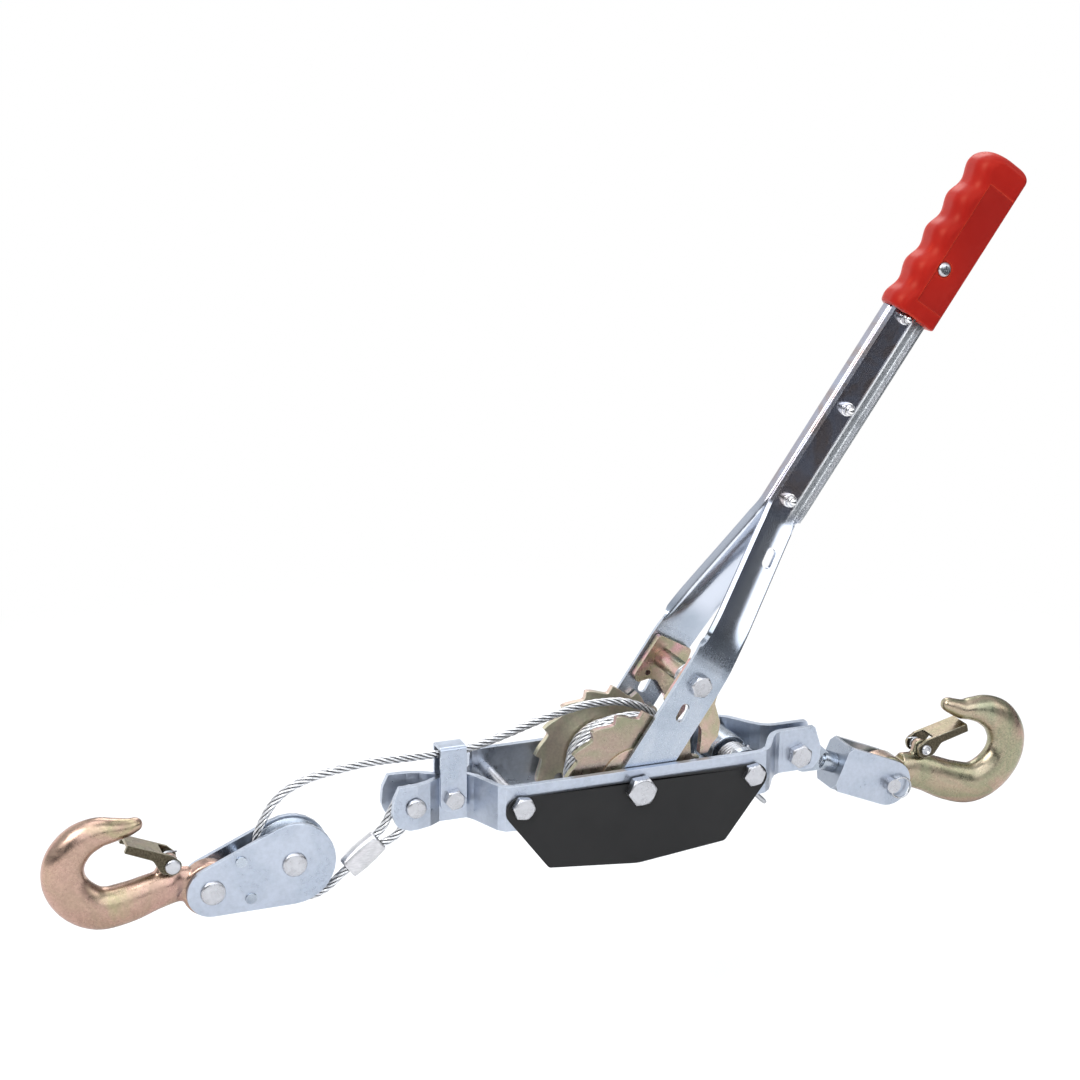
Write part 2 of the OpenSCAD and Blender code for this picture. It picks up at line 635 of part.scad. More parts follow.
// ---------- rear swivel link and clevis ----------
// Link frame: origin on the rear bolt, X along the link.
link_tilt = -22.5;
stem_r = 4.5;
clevis_x = 30.1;      // front face of the clevis base
clevis_hw = 12.2;     // half width along Y
clevis_hh = 14.2;     // half height
clevis_t = 3.1;
pin_x = 66.4;
pin_r = 4.5;
ring_r = 6.6;
module on_link() { translate(at_y(rear_at, 0)) rotate([0, -link_tilt, 0]) children(); }
// collar, stem and head of the swivel: [start, radius, length]
swivel_steps = [[20.5, 6.2, 9.4], [19, stem_r, 18], [33.35, 8, 4.4]];
module rear_link() {
  color(zinc) on_link() union() {
    difference() {
      y_plate(-3.2, 3.2) polygon(rounded([[-10.5, -9, 9], [-10.5, 9, 9], [10, 10.5, 6],
        [23, 5.4, 3], [23, -5.4, 3], [10, -10.5, 6]]));
      y_hole([0, 0], rear_bolt_r, -20, 20);
    }
    rotate([0, 90, 0]) for (step = swivel_steps)
      translate([0, 0, step[0]]) cylinder(r = step[1], h = step[2]);
  }
}
module clevis_arm() {
  y_plate(-clevis_hw, -clevis_hw + clevis_t) polygon(concat(
    [[clevis_x, -10.5], [clevis_x + clevis_t, -clevis_hh]],
    [for (a = [-90:12:90]) [pin_x, 0] + polar(clevis_hh, a)],
    [[clevis_x + clevis_t, clevis_hh], [clevis_x, 10.5]]));
}
// base plate with clipped corners
module clevis_base() {
  low = clevis_hh - 3.6;
  narrow = clevis_hw - 3.4;
  translate([clevis_x, 0, 0]) rotate([90, 0, 90]) linear_extrude(clevis_t)
    polygon([[-clevis_hw, -low], [-narrow, -clevis_hh], [narrow, -clevis_hh], [clevis_hw, -low],
      [clevis_hw, low], [narrow, clevis_hh], [-narrow, clevis_hh], [-clevis_hw, low]]);
}
module clevis() {
  color(zinc) on_link() difference() {
    union() {
      clevis_arm();
      mirror([0, 1, 0]) clevis_arm();
      clevis_base();
    }
    rotate([0, 90, 0]) cylinder(r = stem_r + 0.08, h = 50);
    y_hole([pin_x, 0], pin_r, -20, 20);
  }
}
// ring through the near end of the clevis pin
module ring_shape(radius) {
  translate([pin_x + ring_r, -15.2, 0]) rotate([90, 0, 0]) rotate_extrude($fn = 64)
    translate([ring_r, 0]) circle(r = radius, $fn = 20);
}
module clevis_pin() {
  color(steel) on_link() difference() {
    union() {
      y_cylinder([pin_x, 0], pin_r, -17.6, clevis_hw + 0.1);
      y_cylinder([pin_x, 0], 7.5, clevis_hw, clevis_hw + 3);
    }
    // cross hole for the ring
    ring_shape(0.95);
  }
}
module clevis_ring() { color(steel) on_link() ring_shape(0.85); }

// ---------- hooks ----------
// Hook frame: origin at the eye, X along the hook, Z towards the opening.
// centre line [x, z, half width in plane, half width across]; the first two
// rows get their width across from the eye
hook_stations = [[12, 0.6, 10.2, 0], [17, -0.6, 10.3, 0.1], [22, -2.3, 10.4, 7],
  [31, -7.2, 10.9, 7.8], [43, -14.8, 11.5, 8.3], [57, -20.6, 11.8, 8.5],
  [70, -17.8, 12.4, 8.5], [79.8, -9.4, 12.2, 8.5], [83.1, 2.2, 11.5, 8.3],
  [79, 14, 10.4, 7.9], [70.6, 21.4, 8.9, 7], [61.4, 24.8, 6.8, 6],
  [54, 27.3, 5.2, 4.9], [48.8, 30.1, 4, 4], [46, 31.5, 3.2, 3.2],
  [44.2, 32.3, 1.9, 1.9], [43.6, 32.5, 0.7, 0.7]];
front_size = 1.0;
rear_size = 1.09;
max_across = 8.6;
latch_rivet_r = 2.4;
latch_len = 28.4;
function latch_at(size) = [26.4, 11.7]*size;
function hook_rows(size, neck) =
  let (rows = [for (s = hook_stations) s[3] < 1 ? [s[0], s[1], s[2], s[3] + neck/size] : s])
  [for (s = curve(rows, 4))
    [s[0]*size, 0, s[1]*size, s[2]*size, min(s[3]*size, max_across)]];
module hook_body(size, eye_r, eye_hw, eye_pin_r) {
  pivot = latch_at(size);
  difference() {
    union() {
      sweep(hook_rows(size, eye_hw - 0.2), 20);
      y_cylinder([0, 0], eye_r, -eye_hw, eye_hw);
      // lug that carries the latch
      y_plate(-2.6, 2.6) polygon(concat([[pivot[0] - 10, -4], [pivot[0] + 9, -6]],
        [for (a = [10:20:170]) pivot + polar(4.5, a)]));
    }
    y_hole([0, 0], eye_pin_r, -30, 30);
    y_hole(pivot, latch_rivet_r, -30, 30);
  }
}
module latch_rivet(size, near_r, far_r) {
  union() {
    y_cylinder(latch_at(size), latch_rivet_r, -8.8, 8.8);
    side_cylinder(1, latch_at(size), far_r, 8.35, 9.9);
    side_cylinder(-1, latch_at(size), near_r, 8.35, 9.9);
  }
}
// two cheeks joined by a strip along the top
module latch(size) {
  end = latch_len*size;
  outer = 8.2;
  bridge_x = 7.6;
  translate(at_y(latch_at(size), 0)) rotate([0, -5.5, 0]) difference() {
    union() {
      for (side = sides) side_slab(side, 6.2, outer)
        polygon(rounded([[-5, -5, 4.4], [4.6, -5.4, 4], [11.5, 0.4, 4], [end, 0.8, 0.6],
          [end, 5.8, 0.6], [2, 5.8, 2], [-5, 3, 3]], 4));
      translate([bridge_x, -outer, 4]) cube([end - bridge_x, 2*outer, 1.8]);
    }
    y_hole([0, 0], latch_rivet_r, -30, 30);
  }
}
module latch_spring(size) {
  coil(latch_at(size), radius = 3.3, wire_r = 0.5, y0 = 3.4, turns = 1.6, pitch = 1.25,
    a0 = 225, first_leg = 3, last_leg = 5, steps = 16);
}

// pulley block centres, needed to place the front hook
hook_rivet_at = [-243.7, -36];
sheave_at = [-197.2, -26.4];
block_rivet_r = 5.6;
clevis_pin_at = rear_at + polar(pin_x, link_tilt);
module at_front_hook() {
  translate(at_y(hook_rivet_at, 0)) rotate([0, 17.2, 0]) mirror([1, 0, 0]) children();
}
module at_rear_hook() {
  translate(at_y(clevis_pin_at, 0)) rotate([0, -8.4, 0]) children();
}
module front_hook() {
  color(copper) at_front_hook()
    hook_body(front_size, eye_r = 16, eye_hw = 5.1, eye_pin_r = block_rivet_r);
}
module front_latch_rivet() {
  color(steel) at_front_hook() latch_rivet(front_size, near_r = 4.3, far_r = 3.3);
}
module front_latch() { color(gold) at_front_hook() latch(front_size); }
module front_latch_spring() { color(steel) at_front_hook() latch_spring(front_size); }
module rear_hook() {
  color(gold) at_rear_hook()
    hook_body(rear_size, eye_r = 15.4, eye_hw = 7.6, eye_pin_r = pin_r);
}
module rear_latch_rivet() {
  color(steel) at_rear_hook() latch_rivet(rear_size, near_r = 3.4, far_r = 4.3);
}
module rear_latch() { color(gold) at_rear_hook() latch(rear_size); }
module rear_latch_spring() { color(steel) at_rear_hook() latch_spring(rear_size); }

// ---------- pulley block ----------
cheek_in = 5.5;
cheek_out = 8.3;
studs = [[-227.4, -20.2], [-222.4, -42.8]];
stud_r = 2.2;
// a large and a small round end joined by their common tangents
function cheek_outline(big_r = 24, small_r = 14.5) =
  let (span = sheave_at - hook_rivet_at,
       axis = atan2(span[1], span[0]),
       tangent = acos((big_r - small_r)/norm(span)))
  concat([for (i = [0:16])
      sheave_at + polar(big_r, axis - 180 + tangent + (360 - 2*tangent)*i/16)],
    [for (i = [0:12]) hook_rivet_at + polar(small_r, axis + 180 - tangent + 2*tangent*i/12)]);
module cheek(side) {
  difference() {
    side_slab(side, cheek_in, cheek_out) polygon(cheek_outline());
    for (at = [hook_rivet_at, sheave_at]) y_hole(at, block_rivet_r, -20, 20);
    for (at = studs) y_hole(at, stud_r, -20, 20);
  }
}
module block_plate_near() { color(zinc) cheek(-1); }
module block_plate_far() { color(zinc) cheek(1); }
module block_studs() {
  color(zinc) for (at = studs) union() {
    y_cylinder(at, stud_r, -cheek_out - 0.9, cheek_out + 0.9);
    y_cylinder(at, 3, -cheek_in + 0.02, cheek_in - 0.02);
    for (side = sides) side_cylinder(side, at, 3.3, cheek_out, cheek_out + 0.9);
  }
}
module flat_rivet(at) {
  union() {
    y_cylinder(at, block_rivet_r, -cheek_out - 1, cheek_out + 1);
    for (side = sides) side_cylinder(side, at, 7.1, cheek_out, cheek_out + 1.9);
  }
}
module sheave_rivet() { color(steel) flat_rivet(sheave_at); }
module hook_rivet() { color(steel) flat_rivet(hook_rivet_at); }
module sheave() {
  half_w = 5;
  groove_hw = 4.3;
  bore = block_rivet_r + fit;
  groove = [for (i = [1:7])
    [sheave_r + 0.2 - 7.6*sin(180*i/8), -groove_hw + 2*groove_hw*i/8]];
  color(zinc) translate(at_y(sheave_at, 0)) rotate([90, 0, 0]) rotate_extrude($fn = 96)
    polygon(concat([[bore, -half_w], [sheave_r, -half_w], [sheave_r, -groove_hw]], groove,
      [[sheave_r, groove_hw], [sheave_r, half_w], [bore, half_w]]));
}

side_plate_near();
side_plate_far();
cover_plate_near();
cover_plate_far();
axle_bolt();
axle_nut();
axle_washers();
cover_bolts();
cover_bolt_nuts();
cable_guide_strap();
guide_strap_bolt();
guide_strap_nut();
anchor_rivet();
rear_bolt();
rear_nut();
cable_run();
cable_anchor_loop();
ferrule();
ratchet_wheel_near();
ratchet_wheel_far();
drum_core();
drum_bushing();
drum_thrust_washers();
cable_winding();
handle_channel_near();
handle_channel_far();
handle_rivets();
grip();
grip_screw();
drive_pawl_bolt();
drive_pawl_nut();
drive_pawl();
drive_pawl_tube();
drive_pawl_spring();
holding_pawl();
holding_pawl_tube();
holding_pawl_spring();
release_lever();
rear_link();
clevis();
clevis_pin();
clevis_ring();
rear_hook();
rear_latch_rivet();
rear_latch();
rear_latch_spring();
block_plate_near();
block_plate_far();
block_studs();
sheave_rivet();
hook_rivet();
sheave();
front_hook();
front_latch_rivet();
front_latch();
front_latch_spring();
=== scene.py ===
# A lever-operated wire rope puller. The wheel axle runs along Y through the origin. X runs along
# the tool, from the front hook (-X) to the rear hook (+X), Z is up, and the near side faces -Y.
# Piece geometry is in millimetres until mesh_obj turns it into metres. Points in the XZ plane
# are (x, z) pairs and angles are degrees from +X towards +Z. Materials and stage are in metres.
import json
import math
import random

import bmesh
import bpy
import numpy as np
from mathutils import Matrix, Vector


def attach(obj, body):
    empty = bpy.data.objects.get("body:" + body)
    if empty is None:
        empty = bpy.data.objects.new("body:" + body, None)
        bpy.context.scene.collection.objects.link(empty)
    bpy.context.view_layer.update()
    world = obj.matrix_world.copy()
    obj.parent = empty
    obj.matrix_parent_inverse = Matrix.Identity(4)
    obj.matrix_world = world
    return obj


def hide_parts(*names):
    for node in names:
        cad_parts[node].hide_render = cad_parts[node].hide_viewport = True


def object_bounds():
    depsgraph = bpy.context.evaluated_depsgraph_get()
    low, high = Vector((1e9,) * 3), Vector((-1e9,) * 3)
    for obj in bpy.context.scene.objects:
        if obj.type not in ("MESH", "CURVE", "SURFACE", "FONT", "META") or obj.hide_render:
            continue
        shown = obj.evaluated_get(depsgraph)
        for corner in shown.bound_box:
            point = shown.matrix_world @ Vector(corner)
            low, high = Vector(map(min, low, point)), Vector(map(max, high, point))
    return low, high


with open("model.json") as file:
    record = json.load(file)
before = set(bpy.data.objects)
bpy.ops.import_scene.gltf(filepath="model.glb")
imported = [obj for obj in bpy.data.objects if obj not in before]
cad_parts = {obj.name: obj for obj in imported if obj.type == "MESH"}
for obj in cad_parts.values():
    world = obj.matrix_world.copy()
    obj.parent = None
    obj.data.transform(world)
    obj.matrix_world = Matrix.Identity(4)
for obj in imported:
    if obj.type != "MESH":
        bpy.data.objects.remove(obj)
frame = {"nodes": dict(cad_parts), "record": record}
cad_lo, cad_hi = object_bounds()
NODE = frame["nodes"]
SLOT = {part["node"]: part["material_slot"] for part in frame["record"]["subparts"]}
random.seed(11)

# ------------------------------------------------------------ shared dimensions
MM = 0.001
COVER_Y = 33.9                    # outer face of the cover plates
ARM_Y = 27.9                      # outer face of the handle arms at the axle
LEAN = 34.45                      # handle's tilt from +Z towards +X
DRIVE_PIVOT = 68.2                # drive pawl bolt, distance from the axle along the handle
HOLD_PIVOT = (72, -0.5)           # holding pawl pivot, on the rear cover bolt
HANDLE_RIVETS = [186.2 + 62.5 * i for i in range(3)]  # distances from the axle
GRIP_SCREW = 345.7
HANDLE_END = 357.0
SHEET = 2.3                       # thickness of the handle channels

ROPE_RADIUS = 2.4
SLEEVE_CENTER = (-155.2, -30.2)
SLEEVE_TILT = 38.2
ANCHOR = (-127.5, -1.6)           # rivet that holds the rope's end loop
ANCHOR_SHANK = 4

BLOCK_HOOK = (-243.7, -36.0)      # rivets of the front block
BLOCK_SHEAVE = (-197.2, -26.4)
REAR_BOLT = (116.5, -5.0)
LINK_LENGTH = 66.4                # rear bolt to clevis pin
LINK_TILT = 22.5                  # how far the rear link hangs below +X
LATCH = (26.4, 11.7)              # latch rivet in the hook's own frame, at scale 1


# ------------------------------------------------------------ node materials
def shade(color, factor):
    """The colour made lighter or darker, limited to 1."""
    return tuple(min(1, channel * factor) for channel in color)


class Nodes:
    """Builds nodes in an emptied node tree."""

    def __init__(self, tree):
        self.tree = tree
        tree.nodes.clear()

    def put(self, socket, value):
        """Links a socket or sets a value."""
        if isinstance(value, bpy.types.NodeSocket):
            self.tree.links.new(value, socket)
        elif isinstance(value, tuple) and len(value) == 3 and socket.type == "RGBA":
            socket.default_value = (*value, 1)
        else:
            socket.default_value = value

    def node(self, kind, props=None, inputs=(), **named):
        """A node with its properties, inputs by position and inputs by name."""
        node = self.tree.nodes.new(kind)
        for key, value in (props or {}).items():
            setattr(node, key, value)
        for i, value in enumerate(inputs):
            self.put(node.inputs[i], value)
        for key, value in named.items():
            self.put(node.inputs[key.replace("_", " ")], value)
        return node

    def math(self, operation, first, second=0.0):
        return self.node("ShaderNodeMath", {"operation": operation}, (first, second)).outputs[0]

    def add(self, first, second):
        return self.math("ADD", first, second)

    def mul(self, first, second):
        return self.math("MULTIPLY", first, second)

    def vector_math(self, operation, *vectors):
        node = self.node("ShaderNodeVectorMath", {"operation": operation}, vectors)
        scalar = operation in ("DOT_PRODUCT", "LENGTH")
        return node.outputs["Value" if scalar else "Vector"]

    def split(self, vector):
        return self.node("ShaderNodeSeparateXYZ", Vector=vector).outputs

    def remap(self, value, span=(0.3, 0.7), into=(0.0, 1.0), smooth=False):
        """Carries the range span to the range into, clamped."""
        props = {"interpolation_type": "SMOOTHSTEP" if smooth else "LINEAR"}
        return self.node("ShaderNodeMapRange", props, (value, *span, *into)).outputs[0]

    def mix_shader(self, amount, first, second):
        return self.node("ShaderNodeMixShader", inputs=(amount, first, second)).outputs[0]


class Material(Nodes):
    """A principled material whose colour is built up in layers."""

    def __init__(self, name):
        self.material = bpy.data.materials.new(name)
        self.material.use_nodes = True
        super().__init__(self.material.node_tree)
        self.output = self.node("ShaderNodeOutputMaterial")
        self.surface = self.node("ShaderNodeBsdfPrincipled")
        self.put(self.output.inputs[0], self.surface.outputs[0])
        self.object = self.node("ShaderNodeTexCoord").outputs["Object"]
        self.coords = self.object
        self.color = None

    def shift(self, *offset):
        """Moves the patterns, so that two materials of one kind differ."""
        self.coords = self.vector_math("ADD", self.object, offset)

    def mapped(self, source, scale, rotation=(0, 0, 0)):
        node = self.node("ShaderNodeMapping", Vector=source, Scale=scale, Rotation=rotation)
        return node.outputs[0]

    def noise(self, scale, detail=3, rough=0.6, warp=0.0, vector=None):
        return self.node("ShaderNodeTexNoise", Scale=scale, Detail=detail, Roughness=rough,
                         Distortion=warp, Vector=vector or self.coords).outputs["Fac"]

    def ramp(self, value, stops):
        """Colour ramp; stops are (position, colour or grey)."""
        node = self.node("ShaderNodeValToRGB", inputs=(value,))
        elements = node.color_ramp.elements
        while len(elements) < len(stops):
            elements.new(0.5)
        for element, (position, color) in zip(elements, stops):
            rgb = (color,) * 3 if isinstance(color, (int, float)) else color
            element.position = position
            element.color = (*rgb, 1)
        return node.outputs[0]

    def mask(self, value, span):
        """0 below the span, 1 above it."""
        return self.ramp(value, [(span[0], 0.0), (span[1], 1.0)])

    def mix(self, amount, first, second, mode="MIX"):
        node = self.node("ShaderNodeMix", {"data_type": "RGBA", "blend_type": mode}, (amount,))
        self.put(node.inputs[6], first)
        self.put(node.inputs[7], second)
        return node.outputs[2]

    def cover(self, amount, color):
        """Lays a colour over the colour so far."""
        self.color = self.mix(amount, self.color, color)

    def tone(self, amount, pattern, base, steps):
        """Covers with shades of base; steps are (position, brightness)."""
        self.cover(amount, self.ramp(pattern, [(at, shade(base, gain)) for at, gain in steps]))

    def edge(self, radius, span=(0.985, 0.80)):
        """1 on sharp edges and corners, 0 on open faces."""
        bevelled = self.node("ShaderNodeBevel", {"samples": 4}, Radius=radius).outputs[0]
        normal = self.node("ShaderNodeNewGeometry").outputs["Normal"]
        return self.remap(self.vector_math("DOT_PRODUCT", bevelled, normal), span=span)

    def rub_and_edge_highlight(self, radius, amount, color):
        """Paler edges: rubbed wear with a painted edge highlight."""
        self.cover(self.mul(self.edge(radius), amount), color)

    def facing(self, blend):
        return self.node("ShaderNodeLayerWeight", Blend=blend).outputs["Facing"]

    def side_facing(self, normal):
        """How squarely the named normal points along the object's Y axis."""
        geometry = self.node("ShaderNodeNewGeometry")
        props = {"vector_type": "NORMAL", "convert_from": "WORLD", "convert_to": "OBJECT"}
        local = self.node("ShaderNodeVectorTransform", props, (geometry.outputs[normal],))
        return self.math("ABSOLUTE", self.split(local.outputs[0])["Y"])

    def bump(self, height, strength, distance):
        return self.node("ShaderNodeBump", Strength=strength, Distance=distance,
                         Height=height).outputs[0]

    def finish(self, **inputs):
        for key, value in {"Base_Color": self.color, **inputs}.items():
            self.put(self.surface.inputs[key.replace("_", " ")], value)
        return self.material


def zinc(name, tint=(0.465, 0.51, 0.59), dark=(0.36, 0.41, 0.49), rough=0.30,
         lines=(30, 500, 500), seed=0.0, painted_side_shade=0.0):
    """Bright zinc: cloudy blue grey, rolling lines, handling marks; web paints shade on faces off
    Y.
    """
    mat = Material(name)
    mat.shift(seed, seed * 0.7, -seed)
    cloud = mat.noise(scale=38, detail=4, warp=0.6)
    fine = mat.noise(scale=420)
    rolled = mat.noise(scale=8, detail=2, vector=mat.mapped(mat.coords, scale=lines))
    mat.color = mat.ramp(cloud, [(0.30, dark), (0.52, tint), (0.75, shade(tint, 1.12))])
    mat.tone(amount=0.25, pattern=fine, base=tint, steps=((0.35, 0.72), (0.65, 1.15)))
    if painted_side_shade:
        # painted shade: faces that do not point along Y are darkened
        amount = mat.remap(mat.side_facing("True Normal"), span=(0.10, 0.90), into=(painted_side_shade, 0.0))
        mat.cover(amount, shade(dark, 0.42))
    mat.rub_and_edge_highlight(radius=0.0007, amount=0.55, color=(0.82, 0.86, 0.91))
    spots = mat.mask(mat.noise(scale=900, detail=2, rough=0.7), span=(0.70, 0.78))
    mat.cover(mat.mul(spots, 0.14), (0.22, 0.23, 0.25))
    sheen = mat.add(mat.mul(cloud, 0.6), mat.mul(fine, 0.4))
    roughness = mat.remap(sheen, into=(rough - 0.07, rough + 0.11))
    height = mat.add(mat.mul(rolled, 0.5), mat.mul(fine, 0.6))
    return mat.finish(Metallic=0.95, Roughness=roughness,
                      Normal=mat.bump(height, strength=0.10, distance=0.0002))


def handle_zinc(name):
    """Glossy plated channel with a rolled, speckled band along the right above the splay; painted
    reflection above the splay and a painted highlight on the splayed part.
    """
    mat = Material(name)
    place = mat.split(mat.object)
    cos, sin = math.cos(math.radians(LEAN)), math.sin(math.radians(LEAN))
    across = mat.math("SUBTRACT", mat.mul(place["X"], cos), mat.mul(place["Z"], sin))
    along = mat.add(mat.mul(place["X"], sin), mat.mul(place["Z"], cos))
    cloud = mat.noise(scale=46, detail=4, warp=0.8)
    fine = mat.noise(scale=900, rough=0.7)
    speck = mat.mask(mat.noise(scale=2200, detail=2, rough=0.75), span=(0.46, 0.58))
    high = mat.remap(along, span=(0.172, 0.182))
    flat = mat.remap(along, span=(0.084, 0.098), into=(1.0, 0.0))
    mat.color = mat.ramp(cloud, [(0.30, (0.36, 0.41, 0.48)), (0.55, (0.43, 0.48, 0.555)),
                                 (0.75, (0.50, 0.54, 0.60))])
    # painted reflection: a brownish to bluish cast over the part above the splay
    upper_painted_reflection = mat.ramp(mat.noise(scale=60, warp=1.0),
                     [(0.35, (0.50, 0.40, 0.36)), (0.60, (0.56, 0.57, 0.66))])
    mat.cover(mat.mul(high, 0.8), upper_painted_reflection)
    # painted highlight: the splayed part round the wheels is made lighter
    splay = mat.remap(along, span=(0.098, 0.110))
    mat.cover(mat.mul(splay, mat.math("SUBTRACT", 1.0, high)), (0.62, 0.66, 0.74))
    # the band on the near side: a painted highlight line along the fold, then rolled speckle
    band = mat.mul(mat.remap(across, span=(0.0058, 0.0062)), high)
    near = mat.remap(place["Y"], span=(-0.0005, 0.0005), into=(1.0, 0.0))
    band = mat.mul(band, near)
    line = mat.mul(mat.remap(across, span=(0.0050, 0.0055)),
                   mat.remap(across, span=(0.0060, 0.0065), into=(1.0, 0.0)))
    line = mat.mul(line, mat.mul(high, near))
    mat.cover(band, mat.mix(speck, (0.22, 0.235, 0.25), (0.62, 0.64, 0.66)))
    mat.cover(line, (0.95, 0.96, 0.97))
    mat.rub_and_edge_highlight(radius=0.0006, amount=0.6, color=(0.80, 0.82, 0.84))
    roughness = mat.add(mat.remap(fine, into=(0.12, 0.22)), mat.mul(band, 0.30))
    roughness = mat.add(roughness, mat.mul(mat.add(line, flat), 0.12))
    height = mat.add(mat.mul(fine, 0.12), mat.mul(mat.mul(speck, band), 1.0))
    return mat.finish(Metallic=0.95, Roughness=roughness,
                      Normal=mat.bump(height, strength=0.10, distance=0.0002))


def chromate(name, base, pink, green, seed, warm, scale, rough=0.26, metal=0.92, mottle=0.10,
             relief=0.07, rub_and_edge_highlight=0.8, rim=0.0, painted_flank_shade=0.0, grit=0.12):
    """Yellow chromate: drifting pink and green sheen that shifts with the view, fine mottling.

    warm is the strength of the sheen and scale its pattern's, rim paints shade on grazing faces,
    painted_flank_shade paints shade on faces that point along Y.
    """
    mat = Material(name)
    mat.shift(seed, -seed * 0.6, seed * 0.3)
    drift = mat.noise(scale=scale, rough=0.55, warp=1.2)
    turn = mat.add(mat.mul(drift, 1.25), mat.mul(mat.facing(blend=0.42), 0.45))
    turn = mat.math("FRACT", mat.mul(turn, 1.35))
    between = tuple((first + second) / 2 for first, second in zip(base, pink))
    sheen = mat.ramp(turn, [(0.0, base), (0.22, pink), (0.42, base), (0.62, green),
                            (0.82, shade(between, 1.1)), (1.0, base)])
    mat.color = base
    mat.cover(warm, sheen)
    middle = mat.noise(scale=170, detail=4, rough=0.65, warp=0.4)
    fine = mat.noise(scale=620, rough=0.65)
    mat.tone(amount=mottle, pattern=middle, base=base,
             steps=((0.36, 0.45), (0.52, 1), (0.68, 1.45)))
    mat.tone(amount=grit, pattern=fine, base=base, steps=((0.38, 0.40), (0.64, 1.6)))
    if rim:
        # painted shade: grazing faces are darkened, standing in for the dark surroundings they
        # reflect
        outer = mat.remap(mat.facing(blend=0.5), span=(0.70, 0.97), into=(0.0, rim))
        mat.cover(outer, shade(base, 0.28))
        zone = mat.mask(mat.noise(scale=13, detail=2, rough=0.5, warp=0.6), span=(0.45, 0.62))
        grain = mat.mask(mat.noise(scale=820, rough=0.7), span=(0.47, 0.60))
        mat.cover(mat.mul(mat.mul(zone, grain), 0.38), shade(green, 0.42))
    if painted_flank_shade:
        # painted shade: faces that point along Y are darkened, standing in for a dark reflection
        flank_shade_amount = mat.remap(mat.side_facing("Normal"), span=(0.75, 0.95), into=(0.0, painted_flank_shade))
        grain = mat.ramp(mat.noise(scale=1300, rough=0.7), [(0.40, 0.6), (0.62, 1.8)])
        mat.cover(flank_shade_amount, mat.mix(1.0, (0.050, 0.042, 0.028), grain, "MULTIPLY"))
    mat.rub_and_edge_highlight(radius=0.0006, amount=rub_and_edge_highlight, color=(0.74, 0.72, 0.60))
    roughness = mat.remap(middle, into=(rough - 0.07, rough + 0.13))
    height = mat.add(fine, mat.mul(middle, 0.8))
    return mat.finish(Metallic=metal, Roughness=roughness,
                      Normal=mat.bump(height, strength=relief, distance=0.00025))


def black_coat(name):
    """Satin black coating with faint orange peel, dust, and paler edges: rubbed wear with a painted
    edge highlight.
    """
    mat = Material(name)
    peel = mat.noise(scale=1500, detail=2, rough=0.5)
    broad = mat.noise(scale=24)
    mat.color = mat.ramp(broad, [(0.3, (0.009, 0.009, 0.0095)), (0.7, (0.015, 0.015, 0.0155))])
    dust = mat.mask(mat.noise(scale=2600, detail=1, rough=0.5), span=(0.74, 0.80))
    mat.cover(mat.mul(dust, 0.06), (0.30, 0.30, 0.30))
    mat.rub_and_edge_highlight(radius=0.0005, amount=0.22, color=(0.16, 0.16, 0.17))
    return mat.finish(Metallic=0.0, Roughness=mat.remap(broad, into=(0.38, 0.50)),
                      Specular_IOR_Level=0.28,
                      Normal=mat.bump(peel, strength=0.10, distance=0.00012))


def steel(name, base=(0.52, 0.525, 0.55), rough=0.27, blotch=0.35, seed=0.0):
    """Plated fastener steel: pale, slightly blotched and finely grained."""
    mat = Material(name)
    mat.shift(seed, seed, seed)
    cloud = mat.noise(scale=210, warp=0.4)
    fine = mat.noise(scale=1300, detail=2)
    mat.color = base
    mat.tone(amount=blotch, pattern=cloud, base=base, steps=((0.35, 0.62), (0.65, 1.22)))
    mat.rub_and_edge_highlight(radius=0.0004, amount=0.5, color=(0.90, 0.91, 0.92))
    return mat.finish(Metallic=1.0, Roughness=mat.remap(cloud, into=(rough - 0.06, rough + 0.12)),
                      Normal=mat.bump(mat.add(fine, cloud), strength=0.12, distance=0.00012))


def rope_wire(name):
    """Galvanised wires: bright crowns, painted shade in the grooves between strands and between
    wires.
    """
    mat = Material(name)
    crown = mat.node("ShaderNodeAttribute", {"attribute_name": "crown"}).outputs["Fac"]
    cloud = mat.noise(scale=700)
    mat.color = mat.ramp(cloud, [(0.3, (0.58, 0.59, 0.61)), (0.55, (0.78, 0.785, 0.80)),
                                 (0.75, (0.90, 0.90, 0.91))])
    # painted shade: darker where the surface lies deep between the strands and wires
    groove = mat.ramp(crown, [(0.66, 1.0), (0.86, 0.45), (0.93, 0.0)])
    mat.cover(groove, (0.045, 0.047, 0.052))
    height = mat.noise(scale=2400, detail=2)
    return mat.finish(Metallic=0.92, Roughness=mat.remap(cloud, into=(0.24, 0.40)),
                      Normal=mat.bump(height, strength=0.10, distance=0.0001))


def red_plastic(name):
    """Glossy red moulded plastic, faintly mottled, with a painted orange highlight at the edges and
    on grazing faces.
    """
    mat = Material(name)
    broad = mat.noise(scale=30, rough=0.5)
    mat.color = mat.ramp(broad, [(0.3, (0.33, 0.010, 0.008)), (0.7, (0.41, 0.016, 0.011))])
    # painted highlight: orange on the edges and on grazing faces
    grazing_highlight = mat.remap(mat.facing(blend=0.35), span=(0.35, 0.80), into=(0.0, 0.55))
    edge = mat.math("MAXIMUM", mat.edge(radius=0.0026, span=(0.975, 0.62)), grazing_highlight)
    mat.cover(mat.mul(edge, 0.70), (0.80, 0.085, 0.030))
    peel = mat.noise(scale=900, detail=2, rough=0.5)
    return mat.finish(Metallic=0.0, Roughness=mat.remap(mat.noise(scale=160), into=(0.30, 0.40)),
                      IOR=1.45, Specular_IOR_Level=0.40, Specular_Tint=(1.0, 0.40, 0.26),
                      Subsurface_Weight=0.03, Subsurface_Scale=0.002,
                      Normal=mat.bump(peel, strength=0.04, distance=0.0002))


